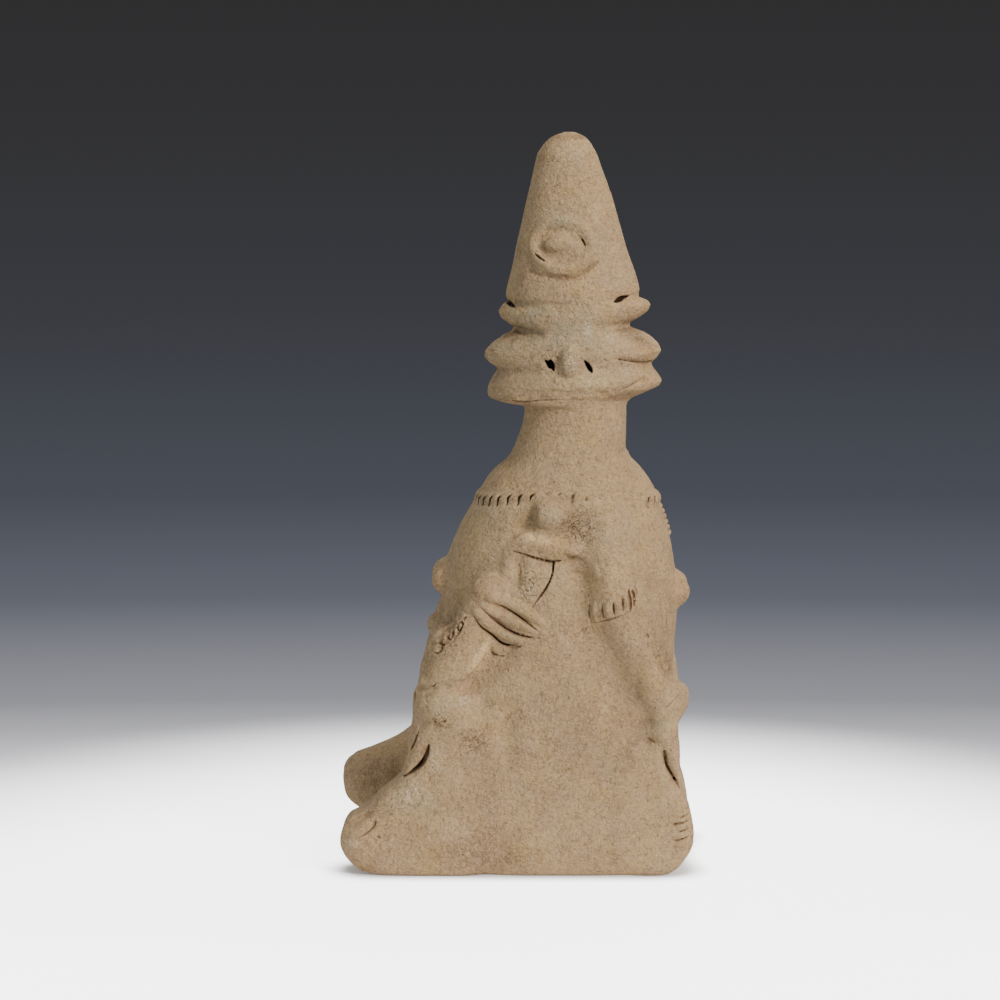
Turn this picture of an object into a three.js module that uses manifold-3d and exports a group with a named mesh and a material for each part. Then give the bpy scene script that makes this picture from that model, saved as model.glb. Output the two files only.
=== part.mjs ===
// A janiform seated figure in fired clay: two bodies back to back share one tall cone head.
// Millimetres, +Z up. The first body faces -X and the second faces +X; the ear side that shows most is -Y.
import * as THREE from "three";
import { mergeVertices } from "three/addons/utils/BufferGeometryUtils.js";
import Module from "manifold-3d";

const wasm = await Module();
wasm.setup();

// Driving dimensions. The figure is modelled freehand, so its pose and carving are shares of its height.
const HEIGHT = 400;
const SHARE = HEIGHT / 100;
const EAR_HOLE_DEPTH = 12;
const EAR_HOLE_WIDTH = 4.2;
const EAR_HOLE_TALL = 6.4;
const SLIT_WIDTH = 2.4;

// How finely the round forms are faceted.
const TRUNK_SIDES = 36;
const HEAD_SIDES = 26;
const LIMB_FACETS = { sides: 10, arc: 2 };
const FINGER_FACETS = { sides: 6, arc: 1 };
const RIB_FACETS = { sides: 5, arc: 1 };
const BALL_FACETS = { sides: 14, rows: 7 };
const BEAD_FACETS = { sides: 10, rows: 5 };
const RING_SIDES = 5;
const RING_STEPS = 40;
const SLAB_STEPS = 34;

const NEAR = -1;
const FAR = 1;

// Cross sections as [height, left edge, right edge, half depth, squareness], in hundredths of the height.
const TORSO_SECTIONS = [
  [0, -16.2, 12.8, 14.4, 4.5],
  [1, -16.8, 13.6, 15, 4.5],
  [4, -17.4, 14.4, 15.3, 4.7],
  [10, -19, 14.4, 15.4, 4.6],
  [16, -20, 14, 15.2, 4],
  [21, -20.4, 13.9, 14.9, 3.2],
  [25, -20.2, 13.6, 14.7, 3],
  [29, -19.8, 13.6, 14.4, 2.8],
  [33, -19.2, 14, 14.1, 2.7],
  [37, -18.4, 14.2, 13.7, 2.6],
  [41.4, -17.8, 13.6, 13.1, 2.5],
  [43.6, -16.9, 13.3, 12.6, 2.4],
  [45.8, -15.9, 12.7, 12, 2.4],
  [48, -14.8, 12.1, 11.2, 2.3],
  [50.3, -13.5, 11.3, 10.3, 2.2],
  [52.5, -12.3, 10.3, 9.2, 2.1],
  [53.8, -11.4, 9.4, 8.2, 2.1],
  [55.2, -9.6, 8.2, 7.2, 2.1],
  [56.2, -7, 6.6, 6, 2.1],
];
const NECK_SECTIONS = [
  [47, -11.8, 9, 10.2, 2.1],
  [51, -10.6, 7.8, 9.5, 2.1],
  [54, -9.5, 7.1, 8.4, 2.1],
  [57, -8.4, 6.9, 7.5, 2.1],
  [60, -7.2, 7, 6.9, 2.1],
  [62, -6.9, 7, 6.7, 2.1],
  [64, -7, 7, 6.7, 2.1],
];
// The head from under the chins, over the three stacked ledges of each face, to the tip of the cone.
const HEAD_SECTIONS = [
  [62.6, -7, 6.8, 6.7, 2],
  [63.1, -9, 7.1, 7, 2],
  [63.7, -11.6, 7.7, 7.4, 2],
  [64.5, -12.1, 9.4, 7.8, 2],
  [65.4, -12, 11.5, 8, 2],
  [66.2, -11.7, 11.9, 8.1, 2],
  [67, -11.2, 11.4, 8, 2],
  [67.9, -10.8, 10.8, 7.8, 2],
  [68.6, -11.7, 10.5, 7.9, 2],
  [69.4, -12.5, 11.2, 8.1, 2],
  [70.3, -12.3, 11.7, 8.1, 2],
  [71.3, -11.4, 11.4, 8, 2],
  [72.3, -9.9, 10.4, 7.8, 2],
  [73, -8.6, 9.2, 7.6, 2],
  [73.6, -8.4, 7.4, 7.4, 2],
  [74.2, -9.4, 7.6, 7.5, 2],
  [74.9, -10.2, 8.9, 7.7, 2],
  [75.7, -10.4, 9.9, 7.8, 2],
  [76.6, -9.8, 10.3, 7.8, 2],
  [77.3, -9.1, 9.9, 7.7, 2],
  [77.8, -9.6, 8.6, 7.9, 2],
  [79.2, -9.3, 8.7, 7.8, 2],
  [81.5, -8.7, 8, 7.4, 2.1],
  [84.5, -8.1, 6.9, 6.8, 2.1],
  [88, -7.3, 5.9, 6, 2.1],
  [91.5, -6.6, 4.9, 5.2, 2.1],
  [95, -5.8, 3.6, 4.4, 2.1],
  [97.3, -5.2, 2.7, 3.7, 2.1],
  [98.8, -4.4, 1.8, 2.9, 2],
  [99.6, -3.4, 1, 2, 2],
  [100, -2.2, 0, 1, 2],
];

// The outlines of the legs seen from the ear side, each with its span from near to far.
const LEGS = [
  {
    outline: [
      [-12.5, 21.5],
      [-17, 22.6],
      [-20.8, 21.4],
      [-22.4, 18.6],
      [-23, 15.6],
      [-24, 13],
      [-25.9, 11.5],
      [-28.5, 9],
      [-31, 7.5],
      [-32, 5.3],
      [-31.8, 3.1],
      [-30.2, 0.9],
      [-27.4, -0.4],
      [-24, -1.1],
      [-16, -1.4],
      [-11.4, 0.6],
      [-8.8, 5],
      [-8, 11],
      [-9.2, 17.4],
    ],
    span: [-15, -6],
    edge: 2.4,
  },
  {
    outline: [
      [-12.5, 22.5],
      [-16.6, 21.8],
      [-20.4, 18.4],
      [-23.2, 15.7],
      [-25.6, 14.1],
      [-28.4, 12.9],
      [-31, 11.9],
      [-32.4, 10.3],
      [-32.6, 8.2],
      [-32, 5.9],
      [-29.8, 4.2],
      [-25, 2.7],
      [-20, 1],
      [-15.5, 0.4],
      [-11, 2],
      [-8.6, 6],
      [-8, 12],
      [-9.2, 18.6],
    ],
    span: [6, 15],
    edge: 3.4,
  },
  ...[
    [-15.1, -6.2],
    [6.2, 15.1],
  ].map((span) => ({
    outline: [
      [10.6, 21.2],
      [13.2, 20.6],
      [14.1, 18.2],
      [14.2, 15],
      [14.3, 12.6],
      [14.9, 10.6],
      [15.6, 8.6],
      [16.1, 6],
      [15.9, 3.8],
      [14.9, 2],
      [13.4, 0.4],
      [10.8, -0.8],
      [7.4, 0],
      [5, 3],
      [4, 9],
      [4.8, 15],
      [7.2, 19.4],
    ],
    span,
    edge: 2,
  })),
];

const EYE = {
  middle: [-1.7, 84.6],
  radii: [3.75, 3.1],
  lid: 0.82,
  ball: [2.3, 1.5, 1.4],
};
const EAR = {
  middle: [-0.7, 69.3],
  radii: [1.05, 1, 2.7],
  holes: [-3.5, 1.8],
  holeHeight: 68.6,
  holeLean: 24,
};

const NECKLACE = {
  height: 51,
  sag: 1,
  thickness: 0.72,
  sunk: 0.5,
};

/** A point given in hundredths of the height. */
function place(x, y, z) {
  return new THREE.Vector3(x, y, z).multiplyScalar(SHARE);
}

/** A closed three.js geometry as a solid that can be joined and cut. */
function solid(geometry) {
  const bare = geometry.clone();
  bare.deleteAttribute("normal");
  bare.deleteAttribute("uv");
  const merged = mergeVertices(bare, 1e-4);
  return new wasm.Manifold(
    new wasm.Mesh({
      numProp: 3,
      vertProperties: merged.attributes.position.array,
      triVerts: new Uint32Array(merged.index.array),
    }),
  );
}

/** All the solids of a list joined into one. */
function joined(solids) {
  return solids.reduce((whole, piece) => whole.add(piece));
}

/** Moves every vertex of a geometry to where the function puts it. */
function reshaped(geometry, move) {
  const position = geometry.attributes.position;
  const point = new THREE.Vector3();
  for (let i = 0; i < position.count; i += 1) {
    move(point.fromBufferAttribute(position, i));
    position.setXYZ(i, point.x, point.y, point.z);
  }
  return geometry;
}

/** A share of one on a rounded square's edge, with its sign kept. */
function squared(value, squareness) {
  return Math.sign(value) * Math.abs(value) ** (2 / squareness);
}

/** An upright column through rounded-square sections, closed flat at both ends. */
function column(sections, sides) {
  const last = sections.length - 1;
  const drum = new THREE.CylinderGeometry(1, 1, 1, sides, last);
  return solid(
    reshaped(drum, (point) => {
      const [height, left, right, depth, squareness] = sections[Math.round(last * (point.y + 0.5))];
      const rim = Math.hypot(point.x, point.z) > 0.5 ? 1 : 0;
      const across = (left + right) / 2 + rim * ((right - left) / 2) * squared(point.x, squareness);
      point.copy(place(across, -rim * depth * squared(point.z, squareness), height));
    }),
  );
}

/** A slab cut along an outline seen from the ear side, with its rims rounded over. */
function slab({ outline, span: [near, far], edge }) {
  const loop = new THREE.CatmullRomCurve3(
    outline.map(([x, z]) => place(x, z, 0)),
    true,
    "centripetal",
  );
  const shape = new THREE.Shape(loop.getSpacedPoints(SLAB_STEPS).slice(0, -1));
  const round = edge * SHARE;
  const block = new THREE.ExtrudeGeometry(shape, {
    depth: (far - near) * SHARE - 2 * round,
    bevelThickness: round,
    bevelSize: round,
    bevelOffset: -round,
    bevelSegments: 3,
    steps: 1,
  });
  block.rotateX(Math.PI / 2);
  return solid(block.translate(0, far * SHARE - round, 0));
}

/** An ellipsoid, tipped about the axis that runs from near to far. */
function ball([x, y, z], radii, droop = 0, facets = BALL_FACETS) {
  const sphere = new THREE.SphereGeometry(1, facets.sides, facets.rows);
  const [across, deep, tall] = radii;
  sphere.rotateX(Math.PI / 2).scale(across * SHARE, deep * SHARE, tall * SHARE);
  sphere.rotateY(THREE.MathUtils.degToRad(droop));
  const middle = place(x, y, z);
  return solid(sphere.translate(middle.x, middle.y, middle.z));
}

/** A tapered rod with round ends between two points. */
function rod(from, to, startRadius, endRadius, facets = LIMB_FACETS) {
  const start = place(...from);
  const end = place(...to);
  const length = start.distanceTo(end);
  const r0 = startRadius * SHARE;
  const r1 = endRadius * SHARE;
  const lean = Math.asin((r0 - r1) / length);
  const profile = [];
  for (let i = 0; i <= facets.arc; i += 1) {
    const angle = -Math.PI / 2 + (i / facets.arc) * (Math.PI / 2 + lean);
    profile.push(new THREE.Vector2(Math.max(0, r0 * Math.cos(angle)), r0 * Math.sin(angle)));
  }
  for (let i = 0; i <= facets.arc; i += 1) {
    const angle = lean + (i / facets.arc) * (Math.PI / 2 - lean);
    profile.push(new THREE.Vector2(Math.max(0, r1 * Math.cos(angle)), length + r1 * Math.sin(angle)));
  }
  profile[0].x = 0;
  profile[profile.length - 1].x = 0;
  const turn = new THREE.Quaternion().setFromUnitVectors(
    new THREE.Vector3(0, 1, 0),
    end.clone().sub(start).normalize(),
  );
  const lathe = new THREE.LatheGeometry(profile, facets.sides);
  return solid(lathe.applyQuaternion(turn).translate(start.x, start.y, start.z));
}

/** A limb or finger: tapered rods end to end through [x, y, z, radius] joints. */
function limb(joints, facets = LIMB_FACETS) {
  return joined(
    joints.slice(1).map((next, i) => {
      const previous = joints[i];
      return rod(previous.slice(0, 3), next.slice(0, 3), previous[3], next[3], facets);
    }),
  );
}

/** A thin block through the surface, for a slit or a pierced hole, leaning in the plane of the ear side. */
function slot([x, y, z], wide, deep, tall, lean) {
  const block = new THREE.BoxGeometry(wide, deep, tall);
  block.rotateY(THREE.MathUtils.degToRad(lean));
  const middle = place(x, y, z);
  return solid(block.translate(middle.x, middle.y, middle.z));
}

/** The torso and seat in one bell shape, and the neck that stands in it. */
function trunk() {
  return column(TORSO_SECTIONS, TRUNK_SIDES).add(column(NECK_SECTIONS, HEAD_SIDES));
}

/** The tall cone over the two faces' stacked ledges of lip and chin. */
function head() {
  return column(HEAD_SECTIONS, HEAD_SIDES);
}

/** The cone's half depth at a height. */
function coneDepth(height) {
  const above = HEAD_SECTIONS.findIndex((section) => section[0] > height);
  const [high, low] = [HEAD_SECTIONS[above], HEAD_SECTIONS[above - 1]];
  return THREE.MathUtils.mapLinear(height, low[0], high[0], low[3], high[3]);
}

/** One shared eye on the cone's flank: a lid ring round a swollen ball. */
function eye(side) {
  const [x, z] = EYE.middle;
  const depth = coneDepth(z);
  const slope = Math.atan((coneDepth(z - 2) - coneDepth(z + 2)) / 4);
  const ring = new THREE.TorusGeometry(1, EYE.lid / EYE.radii[1], RING_SIDES, RING_STEPS / 2);
  ring.scale(EYE.radii[0] * SHARE, EYE.radii[1] * SHARE, EYE.radii[1] * SHARE);
  ring.rotateX(Math.PI / 2 + side * slope);
  const middle = place(x, side * depth, z);
  const lid = solid(ring.translate(middle.x, middle.y, middle.z));
  return lid.add(ball([x, side * (depth - 0.35), z + 0.1], EYE.ball, 0, BEAD_FACETS));
}

/** One shared ear: an upright ridge. */
function ear(side) {
  const [x, z] = EAR.middle;
  return ball([x, side * 7.7, z], EAR.radii, 0, BEAD_FACETS);
}

/** The two pierced holes beside an ear. */
function earHoles(side) {
  return joined(
    EAR.holes.map((x) =>
      slot([x, side * 7.6, EAR.holeHeight], EAR_HOLE_WIDTH, 2 * EAR_HOLE_DEPTH, EAR_HOLE_TALL, -EAR.holeLean),
    ),
  );
}

/** The wider of the torso and the neck at a height: left edge, right edge, half depth and squareness. */
function trunkAt(height) {
  const rows = [TORSO_SECTIONS, NECK_SECTIONS].map((sections) => {
    const above = sections.findIndex((section) => section[0] > height);
    if (above < 1) return [0, 0, 0, 2];
    const [low, high] = [sections[above - 1], sections[above]];
    return [1, 2, 3, 4].map((i) => THREE.MathUtils.mapLinear(height, low[0], high[0], low[i], high[i]));
  });
  return rows[0][1] - rows[0][0] > rows[1][1] - rows[1][0] ? rows[0] : rows[1];
}

/** The cord round the foot of the neck, laid on the trunk, lower over both chests than over the shoulders. */
function necklace() {
  const ring = new THREE.TorusGeometry(1, 0.1, RING_SIDES, RING_STEPS);
  return solid(
    reshaped(ring, (point) => {
      const around = Math.atan2(point.y, point.x);
      const out = ((Math.hypot(point.x, point.y) - 1) / 0.1) * NECKLACE.thickness - NECKLACE.sunk;
      const up = (point.z / 0.1) * NECKLACE.thickness;
      const height = NECKLACE.height - NECKLACE.sag * Math.cos(around) ** 2;
      const [left, right, deep, squareness] = trunkAt(height);
      const across = ((right - left) / 2) * squared(Math.cos(around), squareness);
      point.copy(
        place(
          (left + right) / 2 + across + out * Math.cos(around),
          deep * squared(Math.sin(around), squareness) + out * Math.sin(around),
          height + up,
        ),
      );
    }),
  );
}

/** How far out the surface of a body stands at a point of its near or far side, in hundredths. */
function surfaceAt(body, x, z, side) {
  const target = new THREE.Mesh(faceted(body), new THREE.MeshBasicMaterial({ side: THREE.DoubleSide }));
  const caster = new THREE.Raycaster(place(x, side * 100, z), new THREE.Vector3(0, -side, 0));
  const [hit] = caster.intersectObject(target);
  return hit.point.y / SHARE;
}

/** A band of upright ribs side by side on a body's near or far side. */
function ribBand(body, [fromX, fromZ], [toX, toZ], ribs, side) {
  return joined(
    Array.from({ length: ribs }, (_, i) => {
      const share = i / (ribs - 1);
      const x = THREE.MathUtils.lerp(fromX, toX, share);
      const z = THREE.MathUtils.lerp(fromZ, toZ, share);
      const y = surfaceAt(body, x, z, side) - side * 0.1;
      return rod([x - 0.12, y, z - 0.6], [x + 0.12, y, z + 0.6], 0.42, 0.4, RIB_FACETS);
    }),
  );
}

/** The arm of the first body on the shown side: it grips the sheathed knife that hangs at its shoulder. */
function knifeArm() {
  const forearm = limb([
    [-12, -12.2, 38.4, 2.2],
    [-14.4, -12, 33.1, 2.7],
    [-17, -11.9, 28.6, 2.9],
    [-18.4, -11.6, 24.6, 3],
  ]);
  const elbow = ball([-16.8, -11.8, 22], [5.3, 3.6, 3.7], 24);
  return forearm.add(elbow);
}

/** The knife's round pommel, its strap and its sheath, and the hand that holds it. */
function knifeAndHand() {
  const pommel = ball([-3.9, -11.2, 49.6], [2.2, 2, 2.3]);
  const strap = limb(
    [
      [-8, -12.6, 45.7, 1.1],
      [-5.2, -13.3, 45.5, 1.5],
      [-2.2, -12.9, 44.6, 1.1],
    ],
    FINGER_FACETS,
  );
  const sheath = joined([
    rod([-8.5, -12.7, 43.4], [-8.4, -13, 38.6], 1.1, 1, FINGER_FACETS),
    rod([-5.2, -12.6, 43.4], [-5.7, -13, 38.4], 2.1, 1.8, FINGER_FACETS),
  ]);
  const palm = ball([-11.4, -12.9, 39.4], [2, 1.6, 2.1], 0, BEAD_FACETS);
  const fingers = [
    [-11, -13, 39, -8.2, -13.9, 37, -4.8, -13.8, 35],
    [-12, -12.9, 37.6, -9.3, -13.9, 35.4, -5, -14, 33.8],
    [-13.2, -12.7, 36.6, -10.4, -13.9, 33.6, -6.4, -14.1, 32.3],
  ].map((path) =>
    limb(
      [
        [...path.slice(0, 3), 0.85],
        [...path.slice(3, 6), 0.85],
        [...path.slice(6), 0.6],
      ],
      FINGER_FACETS,
    ),
  );
  return joined([pommel, strap, sheath, palm, ...fingers]);
}

/** The arm of the second body on the shown side, straight down to its knee. */
function restingArm() {
  const arm = limb([
    [3.6, -9.6, 47, 3.2],
    [4.9, -11.2, 41, 3.5],
    [5.6, -11.9, 36.4, 3.5],
    [8.4, -12.3, 29.4, 3.3],
    [11.4, -12, 22.8, 2.6],
  ]);
  const hand = ball([12.8, -11, 23.4], [2.4, 2.8, 2.9], 20);
  const knuckle = ball([13.5, -9.8, 24.4], [1.9, 2.6, 1.6], 0, BEAD_FACETS);
  return joined([arm, hand, knuckle]);
}

/** A plainer arm of the hidden side, from the shoulder by the elbow to the knee. */
function farArm(facing) {
  const shoulder = facing < 0 ? -6.4 : 4;
  const elbow = facing < 0 ? -15.6 : 9;
  const wrist = facing < 0 ? -19.6 : 11.8;
  const arm = limb([
    [shoulder, 9.8, 46, 3.2],
    [elbow, 11.4, 34.6, 3.2],
    [wrist, 11, 24, 2.8],
  ]);
  const hand = ball([wrist + facing * 0.7, 10.6, 21.2], [2.4, 2.8, 2.9], facing * 20);
  return arm.add(hand);
}

/** The small breasts of one body. */
function breasts(facing) {
  const tip = facing < 0 ? [-17.4, 39.1] : [13.2, 37.5];
  return joined(
    [NEAR, FAR].map((side) => ball([tip[0], side * 4.6, tip[1]], [2.35, 2.6, 2.3], 0, BEAD_FACETS)),
  );
}

/** Both bodies' legs: the first one's stretched out, the second one's drawn up short against the seat. */
function legs() {
  return joined(LEGS.map(slab));
}

/** The narrow gaps left between hands and shins on both sides. */
function handSlits() {
  const deep = 5 * SHARE;
  return joined([
    slot([-21.4, -14.4, 16.4], SLIT_WIDTH, deep, 5.2 * SHARE, 27),
    slot([12.7, -14.4, 15.6], SLIT_WIDTH, deep, 5.6 * SHARE, -20),
  ]);
}

/** What stands above the floor: everything below it is cut off flat. */
function standing(body) {
  const under = new THREE.BoxGeometry(3 * HEIGHT, 3 * HEIGHT, HEIGHT);
  return body.subtract(solid(under.translate(0, 0, -HEIGHT / 2)));
}

/** A solid as a three.js geometry with flat faces. */
function faceted(body) {
  const mesh = body.getMesh();
  const geometry = new THREE.BufferGeometry();
  geometry.setAttribute("position", new THREE.BufferAttribute(mesh.vertProperties, 3));
  geometry.setIndex(new THREE.BufferAttribute(mesh.triVerts, 1));
  const flat = geometry.toNonIndexed();
  flat.computeVertexNormals();
  return flat;
}

/** The whole figure, one piece of clay. */
function figure() {
  const bodies = joined([
    trunk(),
    knifeArm(),
    restingArm(),
    farArm(-1),
    farArm(1),
    legs(),
  ]);
  const bands = joined([
    ribBand(bodies, [-19, 31.6], [-14.9, 35.8], 6, NEAR),
    ribBand(bodies, [1.9, 35.3], [8, 39.2], 7, NEAR),
    ribBand(bodies, [-17.8, 32.4], [-12.6, 35.6], 6, FAR),
    ribBand(bodies, [6.2, 36.4], [11, 33.8], 6, FAR),
  ]);
  const raised = joined([
    bodies,
    bands,
    knifeAndHand(),
    head(),
    eye(NEAR),
    eye(FAR),
    ear(NEAR),
    ear(FAR),
    necklace(),
    breasts(-1),
    breasts(1),
  ]);
  const pierced = raised.subtract(joined([earHoles(NEAR), earHoles(FAR), handSlits()]));
  return faceted(standing(pierced));
}

const clay = new THREE.MeshStandardMaterial({ color: 0xab927a, roughness: 0.95, metalness: 0 });
const geometry = figure();
geometry.computeBoundingBox();
const { min, max } = geometry.boundingBox;

const mesh = new THREE.Mesh(geometry, clay);
mesh.name = "figure";
mesh.position.set(-(min.x + max.x) / 2, -(min.y + max.y) / 2, 0);

const part = new THREE.Group();
part.add(mesh);
export default part;
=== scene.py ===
"""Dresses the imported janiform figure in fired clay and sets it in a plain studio.

The figure is one lump of clay: limbs, ledges and carving melt into the bodies that they are pressed on. Its
skin is therefore worked out as one field of distances, read as whole numpy arrays, and not as separate
grids that would meet in hard seams. Every length of the modelling is in hundredths of the figure's height.
"""

import logging
import math
from dataclasses import dataclass, field
from enum import Enum
from typing import Protocol, Sequence

import bmesh
import bpy
import numpy as np
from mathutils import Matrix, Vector

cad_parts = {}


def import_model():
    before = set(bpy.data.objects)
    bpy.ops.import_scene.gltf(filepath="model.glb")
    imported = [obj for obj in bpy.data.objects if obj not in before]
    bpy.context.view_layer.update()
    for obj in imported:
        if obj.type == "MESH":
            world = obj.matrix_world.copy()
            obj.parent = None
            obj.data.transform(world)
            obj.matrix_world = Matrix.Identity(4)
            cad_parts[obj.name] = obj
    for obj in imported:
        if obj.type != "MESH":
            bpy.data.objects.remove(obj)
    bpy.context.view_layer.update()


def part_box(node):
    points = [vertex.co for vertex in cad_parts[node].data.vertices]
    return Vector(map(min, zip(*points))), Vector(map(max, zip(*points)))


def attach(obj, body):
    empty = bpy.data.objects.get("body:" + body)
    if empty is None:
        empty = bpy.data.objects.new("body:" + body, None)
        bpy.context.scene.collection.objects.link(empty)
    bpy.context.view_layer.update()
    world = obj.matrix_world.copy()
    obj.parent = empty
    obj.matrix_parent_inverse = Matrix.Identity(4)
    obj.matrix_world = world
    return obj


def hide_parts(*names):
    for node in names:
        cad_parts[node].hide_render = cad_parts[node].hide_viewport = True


LOG = logging.getLogger("figure")

HEIGHT = 0.4
SHARE = HEIGHT / 100.0
FAR_AWAY = 30.0

Point3 = tuple[float, float, float]
Point2 = tuple[float, float]
Rows = Sequence[Sequence[float]]
Colour = tuple[float, float, float]
Socket = bpy.types.NodeSocket
Inputs = dict[str | int, object]


class Side(Enum):
    """The two ear sides of the figure, as the sign of Y."""

    SHOWN = -1
    HIDDEN = 1


class Joining(Enum):
    """How a form meets the clay that is there before it."""

    PRESSED_ON = "pressed on"
    CUT_AWAY = "cut away"


def smooth_least(a: np.ndarray, b: np.ndarray, blend: float) -> np.ndarray:
    """The lesser of two distances, with a fillet where they are nearly equal.

    It is min(a, b) less blend * h^2 / 4, where h falls from 1 to 0 as the two differ by 0 to blend.

    Args:
        a: First distances.
        b: Second distances.
        blend: Width over which the fillet acts.

    Returns:
        The joined distances.
    """
    if blend <= 0.0:
        return np.minimum(a, b)
    h = np.maximum(blend - np.abs(a - b), 0.0) / blend
    return np.minimum(a, b) - 0.25 * blend * h * h


def flowing(points: Rows, steps: int, closed: bool = False) -> np.ndarray:
    """A smooth line through points: a cubic through each neighbouring four.

    Args:
        points: Points of any width, such as (x, z) or (x, y, z, radius).
        steps: Pieces that each span is cut into.
        closed: Whether the last point leads back to the first.

    Returns:
        The points of the line, one row each.
    """
    p = np.asarray(points, dtype=float)
    if closed:
        p = np.vstack([p[-1:], p, p[:2]])
    else:
        p = np.vstack([2 * p[0] - p[1], p, 2 * p[-1] - p[-2]])
    t = np.linspace(0.0, 1.0, steps, endpoint=False)[None, :, None]
    a, b, c, d = (p[i : len(p) - 3 + i][:, None, :] for i in range(4))
    spans = 0.5 * (
        2 * b + (c - a) * t + (2 * a - 5 * b + 4 * c - d) * t**2 + (3 * b - a - 3 * c + d) * t**3
    )
    line = spans.reshape(-1, p.shape[1])
    return line if closed else np.vstack([line, p[-2]])


class Form(Protocol):
    """A solid form that knows its own distance field."""

    def distance(self, p: np.ndarray) -> np.ndarray:
        """Signed distances of points, below zero inside."""

    def reach(self) -> tuple[np.ndarray, np.ndarray]:
        """Lowest and highest corner of the form."""


@dataclass(frozen=True)
class Ball:
    """An ellipsoid, tipped about the axis from near to far.

    Its distance is k * (k - 1) / g, where k is the length of the point over the radii and g the length of
    the point over the radii squared.
    """

    middle: Point3
    radii: Point3
    droop: float = 0.0

    def distance(self, p: np.ndarray) -> np.ndarray:
        """Signed distances of points.

        Args:
            p: Points, one row each.

        Returns:
            One distance for each point, below zero inside the form.
        """
        q = p - np.array(self.middle)
        c, s = math.cos(math.radians(self.droop)), math.sin(math.radians(self.droop))
        turned = np.stack([c * q[:, 0] - s * q[:, 2], q[:, 1], s * q[:, 0] + c * q[:, 2]], axis=1)
        radii = np.array(self.radii)
        k = np.linalg.norm(turned / radii, axis=1)
        g = np.linalg.norm(turned / radii**2, axis=1)
        return k * (k - 1.0) / np.maximum(g, 1e-6)

    def reach(self) -> tuple[np.ndarray, np.ndarray]:
        """Lowest and highest corner, for any droop.

        Returns:
            The lowest and the highest corner of the box that holds the form.
        """
        wide = max(self.radii[0], self.radii[2])
        span = np.array([wide, self.radii[1], wide])
        return np.array(self.middle) - span, np.array(self.middle) + span


@dataclass
class Roll:
    """A roll of clay through joints of [x, y, z, radius], with round ends.

    Its distance is the least, over the spans, of the distance to the span's line less the radius at the
    nearest point.
    """

    joints: np.ndarray
    flatness: float = 1.0

    def distance(self, p: np.ndarray) -> np.ndarray:
        """Signed distances of points.

        Args:
            p: Points, one row each.

        Returns:
            One distance for each point, below zero inside the form.
        """
        joints = np.asarray(self.joints, dtype=float)
        stretch = np.array([1.0, 1.0 / self.flatness, 1.0])
        q = p * stretch
        least = np.full(len(p), FAR_AWAY)
        for start, end in zip(joints[:-1], joints[1:]):
            a, b = start[:3] * stretch, end[:3] * stretch
            along = b - a
            t = np.clip((q - a) @ along / max(along @ along, 1e-9), 0.0, 1.0)
            gap = q - a - t[:, None] * along
            least = np.minimum(least, np.linalg.norm(gap, axis=1) - (start[3] + t * (end[3] - start[3])))
        return least * min(1.0, self.flatness)

    def reach(self) -> tuple[np.ndarray, np.ndarray]:
        """Lowest and highest corner.

        Returns:
            The lowest and the highest corner of the box that holds the form.
        """
        joints = np.asarray(self.joints, dtype=float)
        radius = joints[:, 3:4]
        return (joints[:, :3] - radius).min(axis=0), (joints[:, :3] + radius).max(axis=0)


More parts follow.
